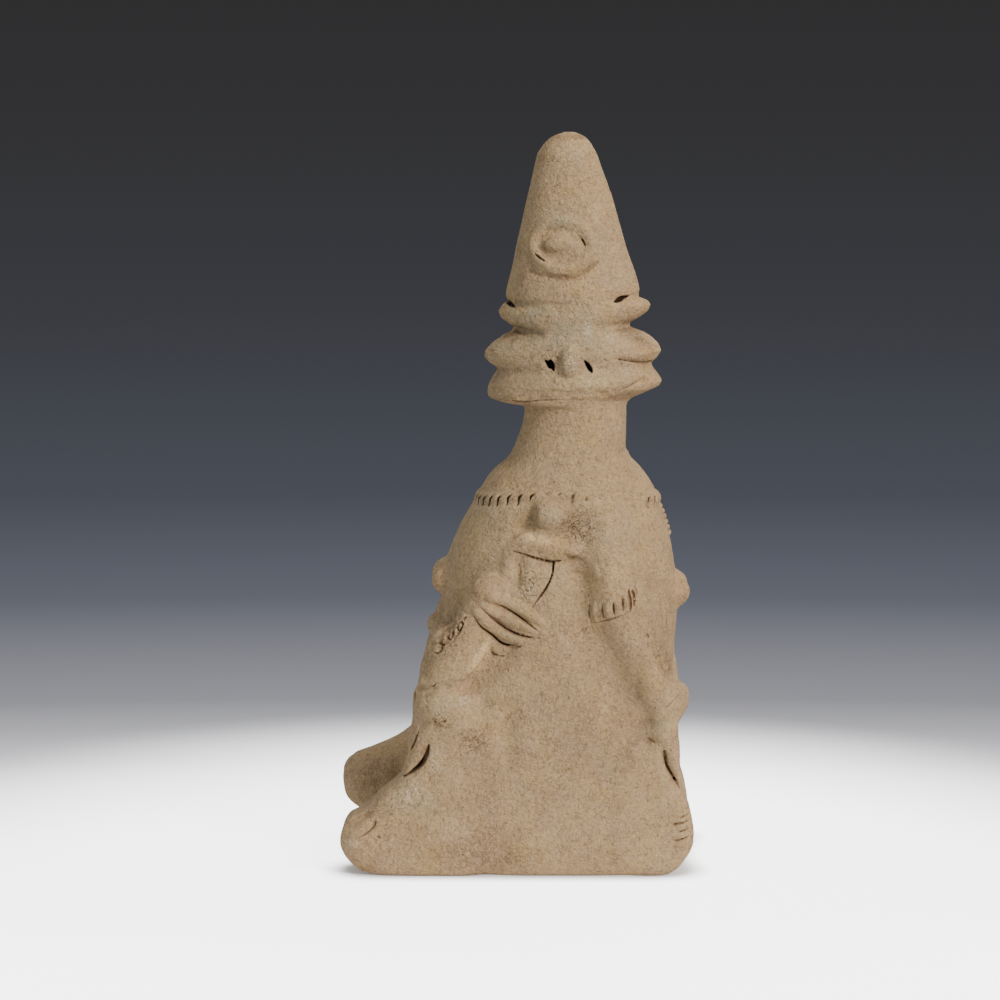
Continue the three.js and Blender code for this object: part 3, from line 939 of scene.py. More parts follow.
@dataclass
class Arms:
    """All four arms; the shown pair follows the photograph, the hidden pair is plainer."""

    knife_arm: Rows = (
        (-12, -12.2, 38.4, 2.1),
        (-14.4, -12, 33.1, 2.7),
        (-17, -11.9, 28.6, 2.9),
        (-18.4, -11.6, 24.6, 3),
    )
    resting_arm: Rows = (
        (3.2, -9.6, 47, 3.2),
        (4.3, -11.1, 41, 3.6),
        (5.6, -11.7, 36.4, 3.5),
        (8.4, -11.8, 29.4, 3.3),
        (11.4, -11.8, 22.8, 2.6),
    )
    knee_roll: Rows = ((-20.3, -11.4, 24.4, 1.5), (-20.8, -11.4, 21, 1.4), (-21.3, -11.4, 18.4, 1.3))
    wrap: Rows = (
        (-17.4, -9.4, 32.2, 0.8),
        (-18.9, -6, 32.5, 0.95),
        (-19.35, 0, 32.6, 1),
        (-18.6, 6, 32.5, 0.8),
    )

    def model(self, clay: Clay) -> None:
        """Presses the arms on the bodies.

        Args:
            clay: The figure as it stands so far.
        """
        clay.press(Roll(flowing(self.knife_arm, 3)), 1.6)
        clay.press(Ball((-16.8, -11.8, 22), (5.3, 3.7, 3.7), 24), 1.5)
        clay.press(Ball((-17.25, -11.7, 31.5), (2.6, 2.7, 2.4)), 1.0)
        clay.press(Roll(flowing(self.knee_roll, 3)), 0.8)
        clay.press(Roll(flowing(self.resting_arm, 3)), 2.6)
        clay.press(Ball((12.8, -11, 23.4), (2.4, 2.8, 2.9), 20), 0.8)
        clay.press(Ball((13.5, -9.8, 24.4), (1.9, 2.6, 1.6)), 0.6)
        for facing in (-1, 1):
            self.hidden_arm(clay, facing)
        self.work_hollows(clay)

    def work_hollows(self, clay: Clay) -> None:
        """Presses the soft hollows beside the shown arms, and the folds of the knees.

        Args:
            clay: The figure as it stands so far.
        """
        shown = Side.SHOWN
        valley = [(0.7, 42.5, 1.8), (0.3, 38.5, 2.2), (0.9, 34.6, 2.4), (2.2, 31, 2.8), (4.2, 27.4, 3)]
        valley += [(6.4, 24, 2.8), (8.2, 21, 2.2)]
        clay.dent(valley, shown, 0.26, 2.4)
        clay.dent([(0.6, 41, 1), (0.3, 38.6, 1.1), (0.6, 36.4, 0.9)], shown, 0.1, 1.2)
        clay.dent([(9.4, 33, 0.7), (10.8, 30.4, 0.8), (12.4, 27.6, 0.7), (13.2, 26.4, 0.5)], shown, 0.22, 0.5)
        clay.slit([(9.6, 33.1, 0.14), (9.9, 32.6, 0.1)], shown, 0.3)
        clay.slit([(11, 30.3, 0.05), (12, 28.6, 0.1), (12.9, 27, 0.06)], shown, 0.15)
        clay.dent([(-9.4, 31, 1.2), (-11.2, 29.2, 1.5), (-12.6, 27.4, 1.4), (-14, 26.2, 1)], shown, 0.45, 1.2)
        forearm_ridge = [(-11.8, 32.4, 0.4), (-12.9, 30.8, 0.75), (-14.2, 28.8, 0.7), (-15.2, 27.4, 0.4)]
        clay.lay(forearm_ridge, shown, -0.2, 0.5)
        clay.lay([(-8.6, 30.4, 0.4), (-6.8, 31, 0.6), (-4.6, 31.4, 0.4)], shown, -0.3, 0.8)
        clay.dent([(-9.2, 23, 1.4), (-9.6, 20.4, 1.6), (-9.2, 17.6, 1.2)], shown, 0.35, 1.4)
        clay.dent([(-21.6, 25.4, 0.5), (-19.4, 26.1, 0.6), (-17.4, 26.2, 0.4)], shown, 0.25, 0.4)
        clay.slit([(-19.8, 26, 0.05), (-19.2, 26.1, 0.16), (-18.9, 26.6, 0.06)], shown, 0.3)
        clay.slit([(-21.8, 25.7, 0.12), (-21.9, 24.6, 0.22), (-21.9, 23.4, 0.08)], shown, 0.5)
        clay.lay([(-20.4, 24, 0.6), (-17.2, 24.6, 0.7), (-14, 24, 0.5)], shown, -0.3, 0.8)
        knee_crease = [(-18.9, 23, 0.06), (-18.3, 22.2, 0.12), (-17.7, 21.4, 0.1), (-17.5, 20.9, 0.05)]
        clay.slit(knee_crease, shown, 0.2)
        clay.slit([(-17.2, 21.2, 0.05), (-15.8, 20.9, 0.09), (-14.4, 20.9, 0.05)], shown, 0.15)
        clay.slit([(-14.3, 23, 0.05), (-13.7, 22.4, 0.09), (-13.6, 21.8, 0.05)], shown, 0.15)
        clay.dent([(-21.2, 20.9, 0.7), (-20, 21.2, 0.8), (-18.6, 20.6, 0.5)], shown, 0.25, 0.5)
        clay.lay([(10.8, 22, 0.5), (12, 23.6, 0.75), (13.4, 25, 0.8)], shown, -0.3, 0.5)
        clay.slit([(11.6, 22.6, 0.05), (12.6, 23.6, 0.12), (13.9, 24.8, 0.1)], shown, 0.25)
        clay.dent([(9.8, 18.7, 0.7), (10.4, 18.5, 0.8), (11.4, 18.3, 0.5)], shown, 0.25, 0.5)
        clay.slit([(9.7, 19.1, 0.07), (10.2, 18.6, 0.15), (10.9, 18.4, 0.05)], shown, 0.2)
        clay.press(Roll(flowing(self.wrap, 4)), 0.3)

    def hidden_arm(self, clay: Clay, facing: int) -> None:
        """Presses on one plain arm of the hidden side, from the shoulder to the knee.

        Args:
            clay: The figure.
            facing: -1 for the first body and 1 for the second.
        """
        shoulder, elbow, wrist = (-6.4, -15.0, -18.9) if facing < 0 else (4.0, 9.0, 11.8)
        arm = ((shoulder, 9.8, 46, 3.2), (elbow, 11.4, 34.6, 3.2), (wrist, 11, 24, 2.8))
        clay.press(Roll(flowing(arm, 4)), 1.8)
        clay.press(Ball((wrist + facing * 0.7, 10.6, 21.2), (2.4, 2.8, 2.9), facing * 20), 0.9)
        for finger in (-0.9, 0.0, 0.9):
            x = wrist + facing * 1.2 + finger
            clay.score([(x, 22.6, 0.08), (x + facing * 0.3, 20.4, 0.16)], Side.HIDDEN, 0.05)


@dataclass
class Fronts:
    """The small breasts and navels of both bodies' fronts, which the photograph only shows in outline."""

    first: Point2 = (-17.5, 39)
    second: Point2 = (13.4, 37.4)

    def model(self, clay: Clay) -> None:
        """Presses the breasts and navels on both fronts.

        Args:
            clay: The figure as it stands so far.
        """
        for x, z in (self.first, self.second):
            for y in (-3.4, 3.4):
                clay.press(Ball((x, y, z), (2.25, 2, 2.1)), 1.1)
        clay.press(Ball((-19.6, 0, 29.5), (0.9, 1, 1)), 0.5)
        clay.press(Ball((12.9, 0, 28.6), (0.9, 1, 1)), 0.5)


@dataclass
class Legs:
    """The first body's outstretched legs and the second body's legs drawn up short against the seat."""

    shown_long: Slab = Slab(
        (
            (-12.5, 21.5), (-17, 22.6), (-20.8, 21.4), (-22.4, 18.6), (-23, 15.6), (-24, 13), (-25.9, 11.5),
            (-28.5, 9), (-31, 7.5), (-32, 5.3), (-31.8, 3.1), (-30.1, 0.9), (-27.4, -0.4), (-24, -1.1),
            (-16, -1.4), (-11.4, 0.6), (-8.8, 5), (-8, 11), (-9.2, 17.4),
        ),
        (-15.0, -6.0),
        2.4,
    )
    hidden_long: Slab = Slab(
        (
            (-12.5, 22.5), (-16.6, 21.8), (-20.4, 18.4), (-23.2, 15.7), (-25.6, 14.1), (-28.4, 12.9),
            (-31, 11.9), (-32.4, 10.3), (-32.6, 8.2), (-32, 5.9), (-29.8, 4.2), (-25, 2.7), (-20, 1),
            (-15.5, 0.4), (-11, 2), (-8.6, 6), (-8, 12), (-9.2, 18.6),
        ),
        (6.0, 15.0),
        3.4,
    )
    short_outline: Sequence[Point2] = (
        (10.6, 21.2), (13.2, 20.6), (14.1, 18.2), (14.2, 15), (14.3, 12.6), (14.9, 10.6), (15.6, 8.6),
        (16.1, 6), (15.9, 3.8), (14.9, 2), (13.4, 0.4), (10.8, -0.8), (7.4, 0), (5, 3), (4, 9), (4.8, 15),
        (7.2, 19.4),
    )

    def model(self, clay: Clay) -> None:
        """Presses the legs on the seat and works the feet.

        Args:
            clay: The figure as it stands so far.
        """
        shown = Side.SHOWN
        clay.press(self.shown_long, 1.2)
        clay.press(self.hidden_long, 1.4)
        clay.press(Slab(self.short_outline, (-15.1, -6.2), 2.0), 1.2)
        clay.press(Slab(self.short_outline, (6.2, 15.1), 2.0), 1.2)
        self.work_slits(clay)
        clay.slit([(-31.6, 6.7, 0.08), (-30.2, 7.6, 0.13), (-28.8, 8.2, 0.13), (-27.8, 9, 0.06)], shown, 0.3)
        clay.dent([(-31.2, 6.8, 0.4), (-29.6, 7.8, 0.5), (-28, 8.6, 0.4)], shown, 0.16, 0.3)
        clay.slit([(-29.8, 5.2, 0.06), (-28.3, 6, 0.12), (-27.2, 7.2, 0.13), (-27.5, 8, 0.06)], shown, 0.3)
        clay.lay([(-29.6, 6, 0.4), (-28.6, 7, 0.6), (-27.8, 7.8, 0.4)], shown, -0.25, 0.4)
        clay.slit([(-26.8, 5.6, 0.12), (-26.6, 5.3, 0.12)], shown, 0.25)
        for z, inner in ((5.2, 13.4), (6.3, 13.7), (7.4, 13.2), (8.2, 14.2)):
            for side in Side:
                clay.slit([(inner, z - 0.2, 0.06), (14.4, z, 0.14), (15.3, z + 0.3, 0.1)], side, 0.25)
        for x, y, radius in ((-8.5, -15.3, 0.5), (-0.1, -15.3, 0.42), (-19, -15, 0.3), (6.4, -15.4, 0.3)):
            clay.cut(Roll(np.array([[x - 0.5, y, 0, radius], [x + 0.5, y, 0, radius]])), 0.2)

    def work_slits(self, clay: Clay) -> None:
        """Cuts the narrow gaps between the shown legs and the seat.

        Args:
            clay: The figure as it stands so far.
        """
        shown = Side.SHOWN
        wide = [(-19.9, 18.1, 0.1), (-20.2, 16.9, 0.32), (-20.75, 15.8, 0.4)]
        wide += [(-21.8, 14.7, 0.26), (-23.4, 13.5, 0.08)]
        clay.dent([(-20.2, 18.4, 0.5), (-20.9, 16.2, 0.9), (-22.4, 14.4, 0.6)], shown, 0.25, 0.5)
        clay.slit(wide, shown, 1.1, 0.6, shade_painted=False)
        thin = [(-20.5, 16.6, 0.06), (-21, 15.4, 0.16), (-22, 14.5, 0.12), (-23.2, 13.6, 0.06)]
        clay.slit(thin, shown, 0.5)
        clay.slit([(-21.3, 19.8, 0.07), (-21.9, 18.3, 0.15), (-22.6, 16.8, 0.06)], shown, 0.4)
        clay.dent([(11.9, 17.2, 0.4), (12.4, 15.2, 0.6), (13.8, 12.6, 0.4)], shown, 0.22, 0.4)
        wide = [(11.9, 17.2, 0.2), (12.1, 16.2, 0.26), (12.3, 15.2, 0.2), (13.3, 13.4, 0.17)]
        clay.slit(wide, shown, 0.45, 0.6, shade_painted=False)
        clay.slit([(11.9, 16.8, 0.05), (12.2, 15.4, 0.12), (12.9, 14.1, 0.1), (13.4, 13.2, 0.05)], shown, 0.3)
        clay.slit([(13.3, 13.4, 0.15), (14.1, 12.1, 0.06)], shown, 0.3)
        clay.lay([(13, 17.4, 0.3), (13.3, 15.4, 0.5), (14, 13.4, 0.3)], shown, -0.15, 0.3)


@dataclass
class KnifeHand:
    """The hand that grips the sheathed knife at the first body's shoulder."""

    pommel: Point3 = (-3.8, -10.6, 48.9)
    fingers: Sequence[Rows] = (
        ((-11.6, 38.4, 0.75), (-8.3, 37, 0.85), (-5.4, 35.2, 0.7), (-4, 34, 0.3)),
        ((-12.5, 37.2, 0.7), (-9.6, 35.2, 0.85), (-6.4, 33.9, 0.7), (-4.4, 33.4, 0.3)),
        ((-13.4, 36.2, 0.7), (-11, 33.8, 0.85), (-8.4, 32.4, 0.7), (-6, 32, 0.3)),
    )
    strap_slit: Rows = (
        (-8.7, 44.3, 0.06), (-8.1, 44.1, 0.12), (-5.6, 43.4, 0.13), (-3.7, 42.9, 0.15), (-2.1, 42.95, 0.08),
    )
    finger_slits: Sequence[Rows] = (
        ((-11.2, 37.6, 0.08), (-10, 37, 0.11), (-8.7, 36.2, 0.15), (-6.6, 34.7, 0.15), (-4.9, 33.4, 0.05)),
        (
            (-12.7, 36.9, 0.09), (-11.4, 35.3, 0.12), (-9.4, 33.8, 0.14), (-7.2, 32.9, 0.12),
            (-4.9, 32.6, 0.05),
        ),
        ((-13.9, 36, 0.05), (-13, 34.4, 0.12), (-11.4, 33, 0.16), (-9.8, 31.7, 0.14), (-7.5, 31.4, 0.05)),
    )

    def model(self, clay: Clay) -> None:
        """Models the pommel, strap and sheath, then the fingers and the slits between them.

        Args:
            clay: The figure as it stands so far.
        """
        shown = Side.SHOWN
        clay.press(Ball(self.pommel, (2.2, 2.2, 1.9)), 1.9)
        beside_pommel = [(-8.4, 46.2, 0.6), (-7.5, 47.2, 0.9), (-6.6, 48.3, 1.15), (-6.2, 49.4, 0.7)]
        clay.dent(beside_pommel, shown, 0.55, 0.9)
        strap = [(0, 44.7, 0.7), (-2.1, 44.7, 1.2), (-4.4, 45, 1.45), (-6.6, 45.1, 1.3), (-8.2, 44.3, 1.05)]
        clay.lay([*strap, (-9, 42.8, 0.85), (-9.1, 40.8, 0.8), (-8.8, 38.8, 0.6)], shown, -0.4, 1)
        clay.lay([(-5.9, 42.4, 1.7), (-6, 40.4, 1.9), (-6.2, 38.3, 1.35)], shown, -0.85, 0.5, 0.8)
        clay.lay([(-12.5, 39.2, 1.4), (-11, 39.3, 1.2)], shown, -0.8, 1.2)
        for finger, lift, blend in zip(self.fingers, (-0.2, -0.25, -0.25), (0.35, 0.25, 0.25)):
            clay.lay(finger, shown, lift, blend)
        self.cut_slits(clay)
        self.prick(clay)

    def cut_slits(self, clay: Clay) -> None:
        """Cuts the slits of the strap, the sheath and the fingers.

        Args:
            clay: The figure as it stands so far.
        """
        shown = Side.SHOWN
        slits = (
            (self.strap_slit, 0.35),
            ([(-3.05, 42.8, 0.12), (-3.3, 41, 0.12), (-4.3, 39, 0.14), (-6, 36.7, 0.07)], 0.45),
            *zip(self.finger_slits, (0.4, 0.4, 0.45)),
            ([(-11.4, 31, 0.05), (-11.3, 30.4, 0.12), (-11, 30.2, 0.1), (-9.7, 30, 0.04)], 0.3),
            ([(-10.6, 40.6, 0.05), (-10.5, 40.0, 0.12), (-10.7, 39.6, 0.05)], 0.2),
            ([(-9.4, 41.4, 0.06), (-9.1, 41.9, 0.1), (-8.7, 41.5, 0.06)], 0.15),
            ([(-7.2, 43, 0.05), (-7, 41.6, 0.1), (-6.2, 40.4, 0.08), (-5.6, 39.9, 0.04)], 0.15),
        )
        for path, depth in slits:
            clay.slit(path, shown, depth)
        clay.dent([(-7.9, 42.4, 0.35), (-7.9, 41, 0.4), (-7.9, 39.4, 0.35)], shown, 0.1, 0.25)
        clay.slit([(-8.9, 38.9, 0.05), (-8.7, 38, 0.12), (-8.5, 37.4, 0.05)], shown, 0.2)
        clay.dent([(-0.8, 43.4, 0.5), (0.8, 43.2, 0.6), (2, 42.4, 0.5)], shown, 0.22, 0.6)
        clay.lay([(-0.6, 44.3, 0.6), (0.8, 44, 0.75), (2, 43, 0.7), (3, 41.4, 0.4)], shown, -0.4, 0.8)
        clay.slit([(-0.8, 43.2, 0.05), (-0.2, 43.6, 0.1), (0.6, 43.2, 0.08), (1.6, 42.2, 0.05)], shown, 0.15)

    def prick(self, clay: Clay) -> None:
        """Pricks the rough patch beside the pommel, the pits of the seat and the chips of the sheath.

        Args:
            clay: The figure as it stands so far.
        """
        spots = np.random.default_rng(611)
        x, z = spots.uniform(-2, 2.4, 16), spots.uniform(45.6, 48.8, 16)
        pits = [*zip(x, z, spots.uniform(0.08, 0.13, 16))]
        pits += [(-15, 30.3, 0.2), (-18.5, 13.9, 0.22), (-8, 15.7, 0.16), (7.4, 17.2, 0.2)]
        pits += [(-0.8, 31.8, 0.16)]
        x, z = spots.uniform(-19.5, -17, 8), spots.uniform(20, 22, 8)
        pits += [*zip(x, z, spots.uniform(0.12, 0.2, 8))]
        x, z = spots.uniform(-15, -12.4, 10), spots.uniform(17.2, 19.6, 10)
        pits += [*zip(x, z, spots.uniform(0.1, 0.18, 10))]
        for pit_x, pit_z, radius in pits:
            across, down = spots.uniform(-0.35, 0.35), spots.uniform(-0.3, 0.3)
            far_end = (pit_x + across, pit_z + down, radius * 0.6)
            clay.slit([(pit_x, pit_z, radius), far_end], Side.SHOWN, 0.14)


@dataclass
class Wear:
    """Age and handling of the fired clay, as small shifts of its skin."""

    seed: int = 4731
    lumps: float = 0.22
    pits: float = 0.04
    grain: float = 0.012

    def lattice(self, p: np.ndarray, size: float, layer: int) -> np.ndarray:
        """Smooth noise: random values on a lattice, mixed by a smooth step between its eight corners.

        Args:
            p: Points.
            size: Length of a lattice cell.
            layer: Number that picks another set of values.

        Returns:
            Values from -1 to 1.
        """
        table = np.random.default_rng(self.seed + layer).uniform(-1, 1, 4096)
        q = p / size + 100.5
        cell = np.floor(q).astype(np.int64)
        t = q - cell
        t = t * t * (3 - 2 * t)
        total = np.zeros(len(p))
        for corner in range(8):
            bits = np.array([corner & 1, corner >> 1 & 1, corner >> 2 & 1])
            key = (cell + bits) @ np.array([73856093, 19349663, 83492791])
            weight = np.where(bits, t, 1 - t).prod(axis=1)
            total += weight * table[key % 4096]
        return total

    def shift(self, p: np.ndarray) -> np.ndarray:
        """How far each point of the skin moves out: broad lumps, grit and small pits.

        Args:
            p: Points, one row each.

        Returns:
            One shift for each point, in hundredths.
        """
        broad = self.lattice(p, 7.0, 1) + 0.5 * self.lattice(p, 3.4, 2) + 0.25 * self.lattice(p, 1.7, 3)
        grit = self.lattice(p, 0.62, 4) + 0.6 * self.lattice(p, 0.36, 5)
        pocks = np.maximum(self.lattice(p, 1.1, 6) + 0.35 * self.lattice(p, 3.0, 7) - 0.62, 0.0)
        return self.lumps * 0.5 * broad + self.grain * grit - self.pits * 6 * pocks


@dataclass
class Skin:
    """Turns the clay's field into a closed mesh."""

    clay: Clay
    pitch: float
    coarse: int = 4
    low_corner: Point3 = (-34.5, -17.5, -1.5)
    high_corner: Point3 = (18.5, 17.5, 101.5)
    near: float = 1.35
    batch: int = 400000

    def grid_values(self) -> tuple[np.ndarray, np.ndarray]:
        """Reads the field on a grid: everywhere coarsely, and finely only near the surface.

        Returns:
            The grid's lowest corner and its values.
        """
        low = np.array(self.low_corner)
        big = self.pitch * self.coarse
        count = np.ceil((np.array(self.high_corner) - low) / big).astype(int)
        axes = [low[i] + big * (np.arange(count[i]) + 0.5) for i in range(3)]
        centres = np.stack(np.meshgrid(*axes, indexing="ij"), axis=-1).reshape(-1, 3)
        rough = self.clay.distance(centres)
        values = np.repeat(rough.reshape(count), self.coarse, 0)
        values = np.repeat(np.repeat(values, self.coarse, 1), self.coarse, 2).astype(np.float32)
        close = np.abs(values) < big * self.near
        places = np.argwhere(close)
        fine = np.empty(len(places), dtype=np.float32)
        for start in range(0, len(places), self.batch):
            part = places[start : start + self.batch]
            fine[start : start + self.batch] = self.clay.distance(low + self.pitch * (part + 0.5))
        values[close] = fine
        return low + 0.5 * self.pitch, values

    def surface(self) -> tuple[np.ndarray, np.ndarray]:
        """Draws the surface: one point in each cell that the surface crosses, one quad for each crossed
        grid edge.

        A cell's point is the mean of where its edges cross zero, and is then moved along the field's slope
        on to zero.

        Returns:
            Points, and quads facing outwards.
        """
        low, v = self.grid_values()
        inside = v < 0
        count = np.zeros(np.array(v.shape) - 1, dtype=np.int8)
        corners = [(i & 1, i >> 1 & 1, i >> 2 & 1) for i in range(8)]
        nx, ny, nz = count.shape
        for i, j, k in corners:
            count += inside[i : i + nx, j : j + ny, k : k + nz]
        cells = np.argwhere((count > 0) & (count < 8))
        names = np.full(count.shape, -1, dtype=np.int32)
        names[tuple(cells.T)] = np.arange(len(cells))
        at = np.stack([v[tuple((cells + corner).T)] for corner in corners], axis=1)
        total = np.zeros((len(cells), 3))
        hits = np.zeros((len(cells), 1))
        for a in range(8):
            for b in (a | 1, a | 2, a | 4):
                if a == b:
                    continue
                crossed = (at[:, a] < 0) != (at[:, b] < 0)
                t = np.where(crossed, at[:, a] / np.where(crossed, at[:, a] - at[:, b], 1.0), 0.0)[:, None]
                point = np.array(corners[a]) + t * (np.array(corners[b]) - np.array(corners[a]))
                total += np.where(crossed[:, None], point, 0.0)
                hits += crossed[:, None]
        points = low + self.pitch * (cells + total / hits)
        quads = []
        for axis in range(3):
            one, two = (axis + 1) % 3, (axis + 2) % 3
            step = np.zeros(3, dtype=int)
            step[axis] = 1
            first = inside[tuple(slice(0, n - s) for n, s in zip(inside.shape, step))]
            second = inside[tuple(slice(s, None) for s in step)]
            edges = np.argwhere(first != second)
            outward = first[tuple(edges.T)]
            ring = []
            for shift_one, shift_two in ((0, 0), (1, 0), (1, 1), (0, 1)):
                cell = edges.copy()
                cell[:, one] -= shift_one
                cell[:, two] -= shift_two
                ring.append(names[tuple(cell.T)])
            quad = np.stack(ring, axis=1)
            quads.append(np.where(outward[:, None], quad, quad[:, ::-1]))
        return self.settle(points), np.vstack(quads)

    def slope(self, points: np.ndarray, reach: float) -> tuple[np.ndarray, np.ndarray]:
        """The field and its slope at points, from four readings at a tetrahedron's corners.

        Args:
            points: Points, one row each.
            reach: How far from each point the field is read.

        Returns:
            The values, and one slope for each point.
        """
        corners = np.array([[1, -1, -1], [-1, -1, 1], [-1, 1, -1], [1, 1, 1]], dtype=float)
        readings = [self.clay.distance(points + reach * corner) for corner in corners]
        slope = sum(reading[:, None] * corner for reading, corner in zip(readings, corners)) / (4 * reach)
        return sum(readings) / 4, slope

    def settle(self, points: np.ndarray) -> np.ndarray:
        """Moves points along the field's slope on to its surface, by no more than half a cell.

        Args:
            points: Points, one row each.

        Returns:
            The moved points.
        """
        value, slope = self.slope(points, 0.3 * self.pitch)
        move = slope * (value / np.maximum((slope**2).sum(axis=1), 0.2))[:, None]
        length = np.linalg.norm(move, axis=1, keepdims=True)
        return points - move * np.minimum(1.0, 0.5 * self.pitch / np.maximum(length, 1e-9))


@dataclass(frozen=True)
class Board:
    """A node tree with short calls for the nodes that the finishes need."""

    tree: bpy.types.NodeTree

    def node(self, kind: str, inputs: Inputs | None = None, **settings: object) -> bpy.types.Node:
        """Adds a node.

        Args:
            kind: Blender's name of the node type.
            inputs: Sockets by name or number, each with a number, a colour or another node's socket.
            settings: Properties of the node itself.

        Returns:
            The new node.
        """
        made = self.tree.nodes.new(kind)
        for name, value in settings.items():
            setattr(made, name, value)
        for name, value in (inputs or {}).items():
            if isinstance(value, Socket):
                self.tree.links.new(value, made.inputs[name])
            else:
                made.inputs[name].default_value = value
        return made

    def noise(self, at: Socket, size: float, detail: float = 3.0, rough: float = 0.55) -> Socket:
        """Soft noise whose patches are about size metres wide."""
        inputs = {"Vector": at, "Scale": 1.0 / size, "Detail": detail, "Roughness": rough}
        return self.node("ShaderNodeTexNoise", inputs).outputs["Fac"]

    def ramp(self, value: Socket, start: float, end: float, top: float = 1.0) -> Socket:
        """Rises smoothly from 0 at start to top at end."""
        inputs = {"Value": value, "From Min": start, "From Max": end, "To Min": 0.0, "To Max": top}
        return self.node("ShaderNodeMapRange", inputs, interpolation_type="SMOOTHSTEP").outputs["Result"]

    def math(self, operation: str, a: object, b: object) -> Socket:
        """One step of arithmetic on two values."""
        return self.node("ShaderNodeMath", {0: a, 1: b}, operation=operation).outputs[0]

    def mix(self, amount: object, a: object, b: object, blend: str = "MIX") -> Socket:
        """Mixes colour a with colour b by amount."""
        inputs = {0: amount, 6: self.colour(a), 7: self.colour(b)}
        return self.node("ShaderNodeMix", inputs, data_type="RGBA", blend_type=blend).outputs[2]

    def colour(self, value: object) -> object:
        """A colour with its fourth number, or a socket as it is."""
        return (*value, 1.0) if isinstance(value, tuple) else value

    def bump(self, height: Socket, depth: float, under: Socket | None = None) -> Socket:
        """Tilts the shading as height moves the surface by up to depth metres, over another bump.

        Args:
            height: How high the surface stands, from 0 to 1.
            depth: How far height moves the surface, in metres.
            under: The tilt that is there before, if any.

        Returns:
            The tilted normal.
        """
        inputs: Inputs = {"Height": height, "Distance": depth, "Strength": 1.0}
        if under is not None:
            inputs["Normal"] = under
        return self.node("ShaderNodeBump", inputs).outputs["Normal"]


